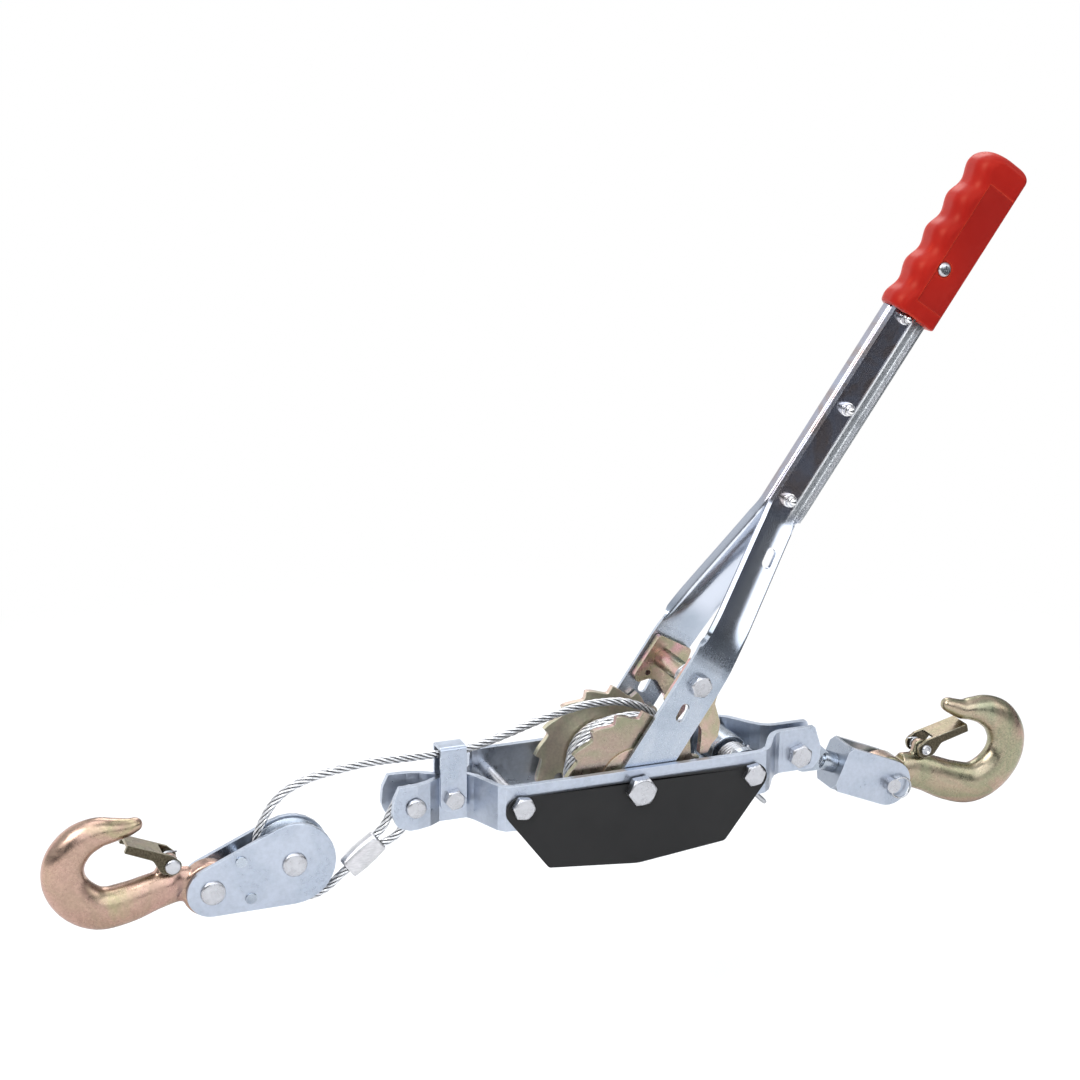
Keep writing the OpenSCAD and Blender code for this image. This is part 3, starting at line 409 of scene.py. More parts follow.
def aluminium(name):
    """Pressed aluminium: bright, cloudy, with faint scores along the sleeve."""
    mat = Material(name)
    mat.coords = mat.mapped(mat.object, scale=(1, 1, 1))
    cloud = mat.noise(scale=130, detail=4, warp=0.5)
    along = mat.mapped(mat.object, scale=(60, 900, 900),
                       rotation=(0, math.radians(SLEEVE_TILT), 0))
    score = mat.noise(scale=3, vector=along)
    fine = mat.noise(scale=1100, detail=2, rough=0.7)
    mat.color = mat.ramp(cloud, [(0.3, (0.50, 0.495, 0.51)), (0.6, (0.70, 0.69, 0.71))])
    mat.cover(0.30, mat.ramp(score, [(0.35, (0.36, 0.36, 0.37)), (0.65, (0.84, 0.84, 0.85))]))
    mat.rub_and_edge_highlight(radius=0.0005, amount=0.5, color=(0.92, 0.92, 0.93))
    return mat.finish(Metallic=1.0, Roughness=mat.remap(cloud, into=(0.28, 0.42)),
                      Normal=mat.bump(mat.add(fine, score), strength=0.12, distance=0.00015))


# name, maker, settings
LOOKS = [
    ("handle_zinc", handle_zinc, {}),
    ("rivet_bright", steel, dict(base=(0.80, 0.80, 0.80), rough=0.20, blotch=0.12, seed=0.9)),
    ("zinc_plate", zinc, {}),
    ("zinc_part", zinc, dict(tint=(0.43, 0.475, 0.535), dark=(0.26, 0.30, 0.36), rough=0.22,
                             lines=(200, 200, 200), seed=0.31)),
    ("black_cover", black_coat, {}),
    ("fastener", steel, {}),
    ("yellow_zinc", chromate, dict(
        base=(0.40, 0.37, 0.25), pink=(0.62, 0.33, 0.36), green=(0.27, 0.41, 0.21),
        seed=0.33, warm=1.0, scale=20.0, grit=0.10)),
    # one chromate for both wheels: the near copy is painted darker as shade, the far copy lighter
    # as light
    ("wheel_near", chromate, dict(
        base=(0.285, 0.285, 0.19), pink=(0.49, 0.275, 0.29), green=(0.235, 0.345, 0.18),
        seed=0.33, warm=0.95, scale=19.0, rough=0.27)),
    ("wheel_far", chromate, dict(
        base=(0.57, 0.55, 0.40), pink=(0.70, 0.46, 0.45), green=(0.46, 0.57, 0.35),
        seed=0.61, warm=0.8, scale=18.0, rough=0.36, metal=0.90)),
    # the clevis web carries painted shade
    ("zinc_clevis", zinc, dict(seed=0.17, painted_side_shade=0.55)),
    ("wire_rope", rope_wire, {}),
    ("ferrule", aluminium, {}),
    ("spring_wire", steel, dict(base=(0.50, 0.51, 0.53), rough=0.25, blotch=0.2, seed=0.4)),
    ("grip_red", red_plastic, {}),
    # hooks: rim sets the painted shade on their grazing faces
    ("hook_copper", chromate, dict(
        base=(0.41, 0.288, 0.218), pink=(0.50, 0.30, 0.265), green=(0.385, 0.37, 0.205),
        seed=0.13, warm=0.75, scale=15.0, metal=0.94, relief=0.05, rub_and_edge_highlight=0.3, rim=0.75,
        grit=0.16)),
    ("hook_gold", chromate, dict(
        base=(0.335, 0.325, 0.215), pink=(0.57, 0.35, 0.30), green=(0.285, 0.36, 0.235),
        seed=0.47, warm=0.90, scale=15.0, metal=0.94, relief=0.05, rub_and_edge_highlight=0.3, rim=0.70,
        grit=0.14)),
    # the latch: painted shade on its flat faces and painted highlights on its pale edges
    ("latch_olive", chromate, dict(
        base=(0.27, 0.235, 0.15), pink=(0.34, 0.23, 0.19), green=(0.27, 0.28, 0.15),
        seed=0.77, warm=0.6, scale=40.0, metal=0.9, mottle=0.20, relief=0.15, rub_and_edge_highlight=0.85,
        painted_flank_shade=0.92, grit=0.25)),
]
MAT = {name: make(name, **settings) for name, make, settings in LOOKS}


def paint(piece, material):
    if len(piece.material_slots) == 0:
        piece.data.materials.append(material)
    for slot in piece.material_slots:
        slot.material = material


for node_name, cad_piece in NODE.items():
    paint(cad_piece, MAT[SLOT[node_name]])


# ------------------------------------------------------------ geometry helpers
# A solid is a pair of vertices and faces, in millimetres.
def add_object(name, data):
    thing = bpy.data.objects.new(name, data)
    bpy.context.scene.collection.objects.link(thing)
    return thing


def mesh_obj(name, solid):
    verts, faces = solid
    mesh = bpy.data.meshes.new(name)
    mesh.from_pydata([tuple(float(c) * MM for c in vert) for vert in verts], [],
                     [tuple(face) for face in faces])
    mesh.validate()
    mesh.update()
    edit = bmesh.new()
    edit.from_mesh(mesh)
    bmesh.ops.recalc_face_normals(edit, faces=edit.faces)
    edit.to_mesh(mesh)
    edit.free()
    mesh.polygons.foreach_set("use_smooth", [True] * len(mesh.polygons))
    return add_object(name, mesh)


def finish_piece(piece, body, slot, node=None, material=None):
    """Gives the piece its material, or the slot's material; hides the CAD node it replaces and
    attaches the piece to the body it rides on.
    """
    piece.data.materials.clear()
    piece.data.materials.append(material or MAT[slot])
    if node:
        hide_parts(node)
    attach(piece, body)


def bake(piece):
    """Applies all modifiers to the mesh."""
    bpy.context.view_layer.update()
    depsgraph = bpy.context.evaluated_depsgraph_get()
    mesh = bpy.data.meshes.new_from_object(piece.evaluated_get(depsgraph))
    old = piece.data
    piece.modifiers.clear()
    piece.data = mesh
    bpy.data.meshes.remove(old)


def smooth_angle(piece, degrees):
    """Smooth shading with sharp edges above an angle."""
    edit = bmesh.new()
    edit.from_mesh(piece.data)
    limit = math.radians(degrees)
    for face in edit.faces:
        face.smooth = True
    for edge in edit.edges:
        edge.smooth = not (len(edge.link_faces) == 2 and edge.calc_face_angle(0) > limit)
    edit.to_mesh(piece.data)
    edit.free()


def bevel(piece, width, degrees, segments=2):
    modifier = piece.modifiers.new("bevel", "BEVEL")
    modifier.width = width * MM
    modifier.segments = segments
    modifier.limit_method = "ANGLE"
    modifier.angle_limit = math.radians(degrees)
    modifier.use_clamp_overlap = True


def cut(piece, tool):
    """Subtracts the tool object and removes it."""
    modifier = piece.modifiers.new("cut", "BOOLEAN")
    modifier.operation = "DIFFERENCE"
    modifier.object = tool
    modifier.solver = "EXACT"
    bake(piece)
    bpy.data.objects.remove(tool)


def carve(piece, solid):
    cut(piece, mesh_obj("tool", solid))


def drill(piece, center, radius, y_start, y_end, sides):
    carve(piece, lathe([(radius, 0), (radius, y_end - y_start)], sides, center, y_start))


def ring_faces(rows, count, closed=True):
    """Quads between successive rows of count vertices."""
    faces = []
    for i in range(rows - 1):
        for j in range(count if closed else count - 1):
            here, beside = i * count + j, i * count + (j + 1) % count
            faces.append((here, beside, beside + count, here + count))
    return faces


def capped_faces(rows, count):
    faces = ring_faces(rows, count)
    faces.append(tuple(range(count - 1, -1, -1)))
    faces.append(tuple((rows - 1) * count + j for j in range(count)))
    return faces


def rings_solid(rings):
    return [vert for ring in rings for vert in ring], capped_faces(len(rings), len(rings[0]))


def prism(outline, y_start, y_end):
    """An (x, z) outline extruded along Y."""
    count = len(outline)
    verts = [(x, y, z) for y in (y_start, y_end) for x, z in outline]
    caps = [tuple(range(count - 1, -1, -1)), tuple(range(count, 2 * count))]
    return verts, caps + ring_faces(2, count)


def lathe(profile, sides=48, center=(0, 0), y_start=0.0, sign=1):
    """Solid of revolution about a line along Y; profile rows are (radius, depth along Y)."""
    verts = []
    for radius, depth in profile:
        for j in range(sides):
            angle = 2 * math.pi * j / sides
            verts.append((center[0] + max(radius, 1e-4) * math.cos(angle),
                          y_start + sign * depth,
                          center[1] + max(radius, 1e-4) * math.sin(angle)))
    return verts, capped_faces(len(profile), sides)


def join_solids(solids):
    verts, faces = [], []
    for part_verts, part_faces in solids:
        start = len(verts)
        verts += list(part_verts)
        faces += [tuple(i + start for i in face) for face in part_faces]
    return verts, faces


def moved(matrix, solid):
    """The solid carried by a matrix that is in metres."""
    verts, faces = solid
    return [tuple((matrix @ Vector((x * MM, y * MM, z * MM))) / MM) for x, y, z in verts], faces


def polar(radius, angle):
    return radius * math.cos(math.radians(angle)), radius * math.sin(math.radians(angle))


def arc(center, radius, angles):
    points = [polar(radius, angle) for angle in angles]
    return [(center[0] + x, center[1] + z) for x, z in points]


def catmull(before, start, end, after, t):
    return 0.5 * (2 * start + (end - before) * t
                  + (2 * before - 5 * start + 4 * end - after) * t * t
                  + (3 * start - before - 3 * end + after) * t ** 3)


def curve(stations, steps):
    """Smooth curve through the stations, with steps points to a span."""
    points = [np.array(station, float) for station in stations]
    spans, out = len(points) - 1, []
    for i in range(spans):
        before = 2 * points[0] - points[1] if i == 0 else points[i - 1]
        after = 2 * points[-1] - points[-2] if i == spans - 1 else points[i + 2]
        for j in range(steps):
            out.append(catmull(before, points[i], points[i + 1], after, j / steps))
    return np.array(out + [points[-1]])


def resample(points, step):
    """Evenly spaced points, with their distances along the path."""
    points = np.array(points, float)
    lengths = np.linalg.norm(np.diff(points[:, :3], axis=0), axis=1)
    reached = np.concatenate([[0], np.cumsum(lengths)])
    count = max(3, int(round(reached[-1] / step)) + 1)
    distance = np.linspace(0, reached[-1], count)
    columns = [np.interp(distance, reached, points[:, k]) for k in range(points.shape[1])]
    return np.stack(columns, 1), distance


def tangents(points):
    along = np.gradient(points[:, :3], axis=0)
    return along / np.linalg.norm(along, axis=1)[:, None]


def transport(points, ref=(0, 1, 0)):
    """Normals and binormals that follow the path without twisting."""
    along = tangents(points)
    normal = np.cross(along[0], ref)
    if np.linalg.norm(normal) < 1e-3:
        normal = np.cross(along[0], (1, 0, 0.3))
    normals = [normal / np.linalg.norm(normal)]
    for tangent in along[1:]:
        normal = normals[-1] - tangent * (normals[-1] @ tangent)
        normals.append(normal / np.linalg.norm(normal))
    normals = np.array(normals)
    return normals, np.cross(along, normals)


def sweep(points, normals, binormals, half_widths, half_depths, sides):
    """Elliptical sections set along the points."""
    angles = np.linspace(0, 2 * math.pi, sides, endpoint=False)
    wide = (half_widths[:, None] * np.cos(angles))[:, :, None] * normals[:, None, :]
    deep = (half_depths[:, None] * np.sin(angles))[:, :, None] * binormals[:, None, :]
    verts = points[:, None, :] + wide + deep
    return [tuple(vert) for vert in verts.reshape(-1, 3)], capped_faces(len(points), sides)


def tube(points, radius, sides, ref=(0, 1, 0)):
    """Round wire; radius is one number or one for each point."""
    points = np.array(points, float)
    radii = np.broadcast_to(np.array(radius, float), len(points))
    return sweep(points, *transport(points, ref), radii, radii, sides)


# ------------------------------------------------------------ wire rope
LAY = 29.0                        # length of one turn of a strand
STRANDS = 6
CORE_SIDES = 8

# rope from the drum to the front sheave and back to the sleeve: x, y, z
ROPE_RUN = [
    (-20, 7.6, 38.6), (-45, 5.6, 34.4), (-72, 2.4, 28.4), (-90, 0.7, 25), (-103, 0, 24.2),
    (-126, 0, 24.3), (-150, 0, 24.6), (-170, 0, 22.6), (-186, 0, 19.8), (-198, 0, 15),
    (-206.6, 0, 8), (-211.8, 0, 0.2), (-215.6, 0, -8), (-217.4, 0, -18), (-217.2, 0, -27.5),
    (-214, 0, -37.2), (-206.4, 0, -44.6), (-196.6, 0, -48.4), (-185.6, 0, -50.4),
    (-176.6, 0, -47.2), (-169.8, 0, -41.8), (-164.3, 0, -37.3)]
# where it leaves the drum: radius, angle, y
ROPE_START = [(38.7, 40, 3), (38.7, 58, 3.6), (38.8, 76, 5), (39.1, 92, 7)]
# turns on the drum in winding order: radius, y
OUTER_TURNS = [(33.8, 3.2), (37.0, -17.6), (37.0, -12.6), (33.6, -7.4), (32.4, -2.4),
               (32.4, -10.0), (32.4, -15.2)]
INNER_TURNS = [(27.8, -17.6), (27.8, -12.5), (27.8, -7.5), (27.8, -2.4), (25.6, 2.8),
               (23.1, 7.8), (23.1, 12.8), (23.1, 17.2), (18.5, 15.0), (18.5, 10.0),
               (18.5, 5.0), (18.5, 0.0), (18.5, -5.0), (18.5, -10.0)]


def add_rope(name, body, node, path, step, pattern=(1.0, 0.93, 0.80, 0.93), phase=0.0):
    """Six strands laid round a core; pattern is the strand's radius around each small wire.

    The crown attribute holds each vertex's distance from the rope's axis, about 1 on the crowns.
    """
    points, distance = resample(path, step)
    normals, binormals = transport(points)
    strand_radius = ROPE_RADIUS / 3 * 1.02
    offset = ROPE_RADIUS - strand_radius
    sides = 6 * len(pattern)
    radii = np.tile(np.array(pattern), 6) * strand_radius
    twist = -2 * math.pi * distance / (LAY * 0.62)
    around = np.linspace(0, 2 * math.pi, sides, endpoint=False)[None, :] + twist[:, None]
    strands, crown = [], []
    for k in range(STRANDS):
        angle = 2 * math.pi * distance / LAY + 2 * math.pi * k / STRANDS + phase
        outward = np.cos(angle)[:, None] * normals + np.sin(angle)[:, None] * binormals
        sideways = -np.sin(angle)[:, None] * normals + np.cos(angle)[:, None] * binormals
        center = points + offset * outward
        verts = center[:, None, :] + radii[None, :, None] * (
            np.cos(around)[:, :, None] * outward[:, None, :]
            + np.sin(around)[:, :, None] * sideways[:, None, :])
        strands.append(([tuple(vert) for vert in verts.reshape(-1, 3)],
                        capped_faces(len(points), sides)))
        reach = np.linalg.norm(verts - points[:, None, :], axis=2) / ROPE_RADIUS
        crown.append(reach.reshape(-1))
    strands.append(tube(points, strand_radius * 0.98, CORE_SIDES))
    crown.append(np.full(len(points) * CORE_SIDES, 0.3))
    rope = mesh_obj(name, join_solids(strands))
    attribute = rope.data.attributes.new("crown", "FLOAT", "POINT")
    attribute.data.foreach_set("value", np.concatenate(crown).astype(np.float32))
    finish_piece(rope, body, "wire_rope", node)


def winding_path(turns, first_angle=34, steps=72):
    """Turns round the drum that step over to the next radius and y within each turn."""
    points = []
    for i in range(len(turns) - 1):
        for j in range(steps):
            part = j / steps
            shift = step01(part, 0.30, 0.72) if part >= 0.30 else 0
            radius = turns[i][0] * (1 - shift) + turns[i + 1][0] * shift
            y = turns[i][1] * (1 - shift) + turns[i + 1][1] * shift
            x, z = polar(radius, first_angle - 360 * (i + part))
            points.append((x, y, z))
    return points


def step01(value, low, high):
    """Smooth step from 0 at low to 1 at high."""
    part = min(1.0, max(0.0, (value - low) / (high - low)))
    return part * part * (3 - 2 * part)


def build_rope():
    start = []
    for radius, angle, y in ROPE_START:
        x, z = polar(radius, angle)
        start.append((x, y, z))
    add_rope("rope_run", "frame", "cable_run", curve(start + ROPE_RUN, 10), step=1.3)

    # end loop: out of the sleeve, round the anchor rivet and back
    along, across = np.array(polar(1, SLEEVE_TILT)), np.array(polar(1, SLEEVE_TILT + 90))

    def from_sleeve(pairs):
        return [tuple(np.array(SLEEVE_CENTER) + along * length + across * side)
                for length, side in pairs]
    loop = from_sleeve([(11.4, 3.4), (12.5, 3.6), (20, 4.8)])
    loop += arc(ANCHOR, ANCHOR_SHANK + ROPE_RADIUS + 0.75, range(145, -66, -30))
    loop += from_sleeve([(22, -5.4), (12.5, -3.6), (11.4, -3.4)])
    add_rope("rope_loop", "frame", "cable_anchor_loop",
             curve([(x, 0, z) for x, z in loop], 10), step=1.3, phase=0.6)
    add_rope("rope_winding", "drum", "cable_winding", winding_path(OUTER_TURNS), step=1.7,
             pattern=(1.0, 0.88, 0.88))
    add_rope("rope_winding_inner", "drum", None, winding_path(INNER_TURNS), step=2.8,
             pattern=(1.0, 0.85))


def build_sleeve():
    """Pressed sleeve: barrel shaped, with the two pressing lines and recessed ends."""
    half_length, rows, sides = 11.9, 36, 64
    wall_scale, recess = 0.80, 1.4
    squareness = 0.72
    tilt = math.radians(SLEEVE_TILT)
    cos_tilt, sin_tilt = math.cos(tilt), math.sin(tilt)
    center_x, center_z = SLEEVE_CENTER
    verts = []
    for i in range(rows + 1):
        part = -1 + 2 * i / rows
        length = half_length * part
        end = max(0.0, abs(part) - 0.955) / 0.045
        shrink = 0.5 * end * end
        half_width = 6.45 + 0.95 * (1 - part * part) - shrink
        half_y = 4.35 + 0.25 * (1 - part * part) - shrink
        for j in range(sides):
            angle = 2 * math.pi * j / sides
            cos, sin = math.cos(angle), math.sin(angle)
            side = half_width * math.copysign(abs(cos) ** squareness, cos)
            y = half_y * math.copysign(abs(sin) ** squareness, sin)
            # shallow waist between the two rope parts and a raised pressing line
            y *= 1 - 0.10 * math.exp(-(side / 2.2) ** 2)
            flash = 0.35 * math.exp(-((abs(cos) - 1) / 0.005) ** 2)
            side += math.copysign(flash, side)
            verts.append((center_x + length * cos_tilt - side * sin_tilt, y,
                          center_z + length * sin_tilt + side * cos_tilt))
    faces = ring_faces(rows + 1, sides)
    for row, sign in ((0, -1), (rows, 1)):
        rim = row * sides
        middle = np.array((center_x + half_length * sign * cos_tilt, 0,
                           center_z + half_length * sign * sin_tilt))
        inner = [tuple(middle + (np.array(verts[rim + j]) - middle) * wall_scale)
                 for j in range(sides)]
        lip = len(verts)
        verts += inner
        floor = len(verts)
        verts += [(x - sign * recess * cos_tilt, y, z - sign * recess * sin_tilt)
                  for x, y, z in inner]
        for j in range(sides):
            k = (j + 1) % sides
            faces.append((rim + j, rim + k, lip + k, lip + j))
            faces.append((lip + j, lip + k, floor + k, floor + j))
        faces.append(tuple(floor + j for j in range(sides)))
    sleeve = mesh_obj("rope_sleeve", (verts, faces))
    smooth_angle(sleeve, 50)
    finish_piece(sleeve, "frame", "ferrule", "ferrule")


# ------------------------------------------------------------ hooks
# stations from the eye round the bend: x, z, half width in the hook's plane, half width along Y
HOOK_BODY = [
    (12, 0.6, 10.2, 0), (17, -0.6, 10.3, 0.1), (22, -2.3, 10.4, 7), (31, -7.2, 10.9, 7.8),
    (43, -14.8, 11.8, 8.3), (57, -20.5, 12.3, 8.5), (70, -17.8, 12.6, 8.5),
    (79.8, -9.4, 12.2, 8.5), (83.1, 2.2, 11.5, 8.3), (79, 14, 10.4, 7.9),
    (70.6, 21.4, 8.9, 7), (61.8, 24.7, 6.9, 6.1)]
# the tips, in the same columns
BEAK_SHORT = [(54.6, 27.3, 5.2, 5.0), (51.6, 29.0, 4.4, 4.3), (49.9, 29.9, 4.0, 3.9),
              (48.4, 30.6, 3.3, 3.2), (47.3, 31.1, 2.1, 2.0), (46.8, 31.3, 0.7, 0.7)]
BEAK_LONG = [(55.8, 26.0, 5.8, 5.5), (49.3, 29.8, 4.6, 4.5), (46.9, 31.4, 4.2, 4.1),
             (45.0, 32.4, 3.6, 3.5), (43.6, 33.1, 2.4, 2.3), (43.0, 33.4, 0.8, 0.8)]


def place_matrix(origin, degrees, mirror=False):
    """Local frame to tool frame, in metres: optional mirror in X, turn about Y, then move."""
    move = Matrix.Translation(Vector((origin[0] * MM, 0, origin[1] * MM)))
    matrix = move @ Matrix.Rotation(math.radians(degrees), 4, "Y")
    return matrix @ Matrix.Diagonal((-1, 1, 1, 1)) if mirror else matrix


CLEVIS_PIN = arc(REAR_BOLT, LINK_LENGTH, [-LINK_TILT])[0]
FRONT_PLACE = place_matrix(BLOCK_HOOK, 17.2, mirror=True)
REAR_PLACE = place_matrix(CLEVIS_PIN, -8.4)
LINK_PLACE = place_matrix(REAR_BOLT, LINK_TILT)
HANDLE_PLACE = Matrix.Rotation(math.radians(LEAN), 4, "Y")
# hook end, scale, placement, side of the latch rivet's rolled ring (+1 is +Y)
HOOK_ENDS = [("front", 1.0, FRONT_PLACE, 1), ("rear", 1.09, REAR_PLACE, -1)]


def scaled_latch(scale):
    return LATCH[0] * scale, LATCH[1] * scale


def build_hook(hook_end, slot, eye_radius, eye_half, bore, beak):
    """Forged hook: a swept body, an eye about its origin and a lug for the latch."""
    end, scale, place, _ = hook_end
    stations = []
    for x, z, wide, deep in HOOK_BODY + beak:
        # inside the eye the body is about as thick as the eye
        if x < 20:
            deep += (eye_half - 0.2) / scale
        stations.append((x, z, wide, deep))
    path = curve(stations, 8) * scale
    points = np.stack([path[:, 0], np.zeros(len(path)), path[:, 1]], 1)
    along = tangents(points)
    normals = np.cross(along, (0, 1, 0))
    normals /= np.linalg.norm(normals, axis=1)[:, None]
    body = sweep(points, normals, np.cross(along, normals), path[:, 2],
                 np.minimum(path[:, 3], 8.6), 28)
    soft = 1.3
    eye_edge = [(eye_radius - soft, eye_half), (eye_radius - 0.4 * soft, eye_half - 0.4 * soft),
                (eye_radius, eye_half - soft)]
    eye = [(0, -eye_half)] + [(radius, -y) for radius, y in eye_edge]
    eye += eye_edge[::-1] + [(0, eye_half)]
    latch = scaled_latch(scale)
    lug = [(latch[0] - 10, -4), (latch[0] + 9, -6)] + arc(latch, 4.5, range(10, 171, 16))
    hook = mesh_obj(f"{end}_hook_forging",
                    join_solids([body, lathe(eye, 56), prism(lug, -2.6, 2.6)]))
    remesh = hook.modifiers.new("remesh", "REMESH")
    remesh.mode = "VOXEL"
    remesh.voxel_size = 0.55 * MM
    remesh.adaptivity = 0
    smooth = hook.modifiers.new("smooth", "SMOOTH")
    smooth.factor = 0.5
    smooth.iterations = 22
    bake(hook)
    drill(hook, (0, 0), bore, -30, 30, 64)
    drill(hook, latch, 2.45, -30, 30, 64)
    # shallow chamfer round the eye bore
    for sign in (-1, 1):
        chamfer = [(bore - 0.3, 0), (bore + 1.0, 1.3)]
        carve(hook, lathe(chamfer, 64, (0, 0), sign * (eye_half - 0.75), sign))
    smooth_angle(hook, 40)
    hook.data.transform(place)
    finish_piece(hook, f"{end}_hook", slot, f"{end}_hook")


# ------------------------------------------------------------ springs
def on_handle(distance):
    """The (x, z) point on the handle's centre line at a distance from the axle."""
    return distance * math.sin(math.radians(LEAN)), distance * math.cos(math.radians(LEAN))


def coil_path(center, radius, y_start, turns, pitch, angle, legs):
    """A coil about a line along Y, with a straight tangent leg at each end."""
    count = int(round(turns * 40))

    def point(part, leg):
        here = angle + 360 * turns * part
        x, z = polar(radius, here)
        leg_x, leg_z = polar(leg, here)
        return center[0] + x - leg_z, y_start + pitch * turns * part, center[1] + z + leg_x
    coil = [point(i / count, 0) for i in range(count + 1)]
    return [point(0, -legs[0])] + coil + [point(1, legs[1])]


def build_springs():
    path = coil_path(on_handle(DRIVE_PIVOT), radius=7.6, y_start=-19.3, turns=3.5, pitch=2.1,
                     angle=60, legs=(8, 9))
    wire = mesh_obj("drive_spring_wire", tube(path, 0.8, 12))
    finish_piece(wire, "drive_pawl", "spring_wire", "drive_pawl_spring")
    path = coil_path(HOLD_PIVOT, radius=9, y_start=-18.6, turns=5.5, pitch=2.4, angle=160,
                     legs=(8, 9))
    wire = mesh_obj("holding_spring_wire", tube(path, 0.9, 12))
    finish_piece(wire, "holding_pawl", "spring_wire", "holding_pawl_spring")
    for end, scale, place, _ in HOOK_ENDS:
        path = coil_path(scaled_latch(scale), radius=3.3, y_start=3.4, turns=1.6, pitch=1.25,
                         angle=225, legs=(3, 5))
        wire = mesh_obj(f"{end}_latch_wire", moved(place, tube(path, 0.5, 10)))
        finish_piece(wire, f"{end}_latch", "spring_wire", f"{end}_latch_spring")

    # split ring: nearly two close turns of wire
    ring_radius, steps, path = 6.6, 132, []
    for i in range(steps + 1):
        part = i / steps
        angle = math.radians(20 + 660 * part)
        path.append((LINK_LENGTH + ring_radius + ring_radius * math.cos(angle),
                     -15.55 + 0.75 * part, ring_radius * math.sin(angle)))
    ring = mesh_obj("split_ring", moved(LINK_PLACE, tube(path, 0.62, 10)))
    finish_piece(ring, "clevis", "spring_wire", "clevis_ring")


# ------------------------------------------------------------ fasteners
HEX_POINTS = 72
THREAD_POINTS = 36
CHAMFER_STEPS = (0.12, 0.3, 0.55, 0.85, 1.2, 1.6)  # depths below a hexagon's top face

# bolt piece, bolt node, nut piece, nut node, body, [(centre, bolt turn, nut turn)],
# then shank radius, half the grip along Y, head across flats, head height,
# shank beyond the grip, thread within the grip, pitch, nut across flats, nut height
JOINTS = [
    ("axle_bolt", "axle_bolt", "axle_nut", "axle_nut", "frame",
     [((0, 0), 4, 12)],
     5, COVER_Y, 15.6, 6, 10, 2, 1.5, 15.6, 8),
    ("cover_bolts", "cover_bolts", "cover_nuts", "cover_bolt_nuts", "frame",
     [((-HOLD_PIVOT[0], HOLD_PIVOT[1]), -8, -5), (HOLD_PIVOT, 8, 5)],
     4, COVER_Y, 12, 4.6, 8, 1.5, 1.25, 12.6, 6.4),
    ("guide_bolt", "guide_strap_bolt", "guide_nut", "guide_strap_nut", "frame",
     [((-103, -1.4), 10, 4)],
     3, 6.5, 10.6, 4.2, 7, 0.5, 1.0, 10.6, 5),
    ("rear_bolt", "rear_bolt", "rear_nut", "rear_nut", "frame",
     [(REAR_BOLT, 20, 8)],
     4, 7, 13, 5, 8, 0.4, 1.25, 13, 6.4),
    ("drive_pawl_bolt", "drive_pawl_bolt", "drive_pawl_nut", "drive_pawl_nut", "handle",
     [(on_handle(DRIVE_PIVOT), 22 - LEAN, 10 - LEAN)],
     4, ARM_Y, 11.8, 5, 8, 0.8, 1.25, 12.6, 6.4),
]


def hex_ring(center, flats, y, turn, limit=9e9):
    """Hexagon outline, its corners cut back to the limit radius."""
    ring = []
    for j in range(HEX_POINTS):
        angle = 360 * j / HEX_POINTS
        off_flat = ((angle - turn) % 60) - 30
        radius = min(flats / 2 / math.cos(math.radians(off_flat)), limit)
        x, z = polar(radius, angle)
        ring.append((center[0] + x, y, center[1] + z))
    return ring


def round_ring(center, radius, y, count=HEX_POINTS):
    angles = [2 * math.pi * j / count for j in range(count)]
    return [(center[0] + radius * math.cos(angle), y, center[1] + radius * math.sin(angle))
            for angle in angles]


def thread_rings(center, radius, y_start, y_end, pitch):
    """Helical thread surface, tapered over its last millimetre."""
    rings = []
    count = int((y_end - y_start) / (pitch / 6))
    for i in range(count + 1):
        y = y_start + (y_end - y_start) * i / count
        taper = min(1.0, y_end - y)
        ring = []
        for j in range(THREAD_POINTS):
            phase = (y / pitch - j / THREAD_POINTS) % 1.0
            groove = 0.58 * pitch * (1 - abs(2 * phase - 1))
            reach = radius - 0.04 - groove * 0.9 - (1 - taper) * 0.5
            angle = 2 * math.pi * j / THREAD_POINTS
            ring.append((center[0] + reach * math.cos(angle), y,
                         center[1] + reach * math.sin(angle)))
        rings.append(ring)
    return rings


def bolt_solids(center, radius, flats, height, seat, tip, turn, thread, pitch):
    """Hex head standing off the seat towards -Y, smooth shank, thread up to the tip."""
    top, half = seat - height, flats / 2
    rings = [round_ring(center, 0.55 * half, top + 0.10),
             round_ring(center, 0.80 * half, top + 0.04),
             round_ring(center, 0.90 * half, top)]
    for depth in CHAMFER_STEPS + (2.0,):
        if depth < height - 1:
            rings.append(hex_ring(center, flats, top + depth, turn, 0.91 * half + depth * 1.55))
    rings += [hex_ring(center, flats, seat - 0.35, turn), hex_ring(center, flats - 0.5, seat, turn)]
    shank = [round_ring(center, radius, y, THREAD_POINTS) for y in (seat - 0.4, thread)]
    shank += thread_rings(center, radius, thread + 0.01, tip, pitch)
    return [rings_solid(rings), rings_solid(shank)]


def nut_solid(center, radius, flats, seat, height, turn):
    half, bore, top = flats / 2, radius + 0.05, seat + height
    rings = [round_ring(center, bore, top - 0.6), round_ring(center, bore + 0.6, top),
             round_ring(center, 0.90 * half, top)]
    for depth in CHAMFER_STEPS:
        rings.append(hex_ring(center, flats, top - depth, turn, 0.91 * half + depth * 1.55))
    rings += [hex_ring(center, flats, seat + 0.4, turn), hex_ring(center, flats - 0.5, seat, turn),
              round_ring(center, bore, seat)]
    faces = ring_faces(len(rings), HEX_POINTS)
    last = (len(rings) - 1) * HEX_POINTS
    for j in range(HEX_POINTS):
        k = (j + 1) % HEX_POINTS
        faces.append((last + j, last + k, k, j))
    return [vert for ring in rings for vert in ring], faces


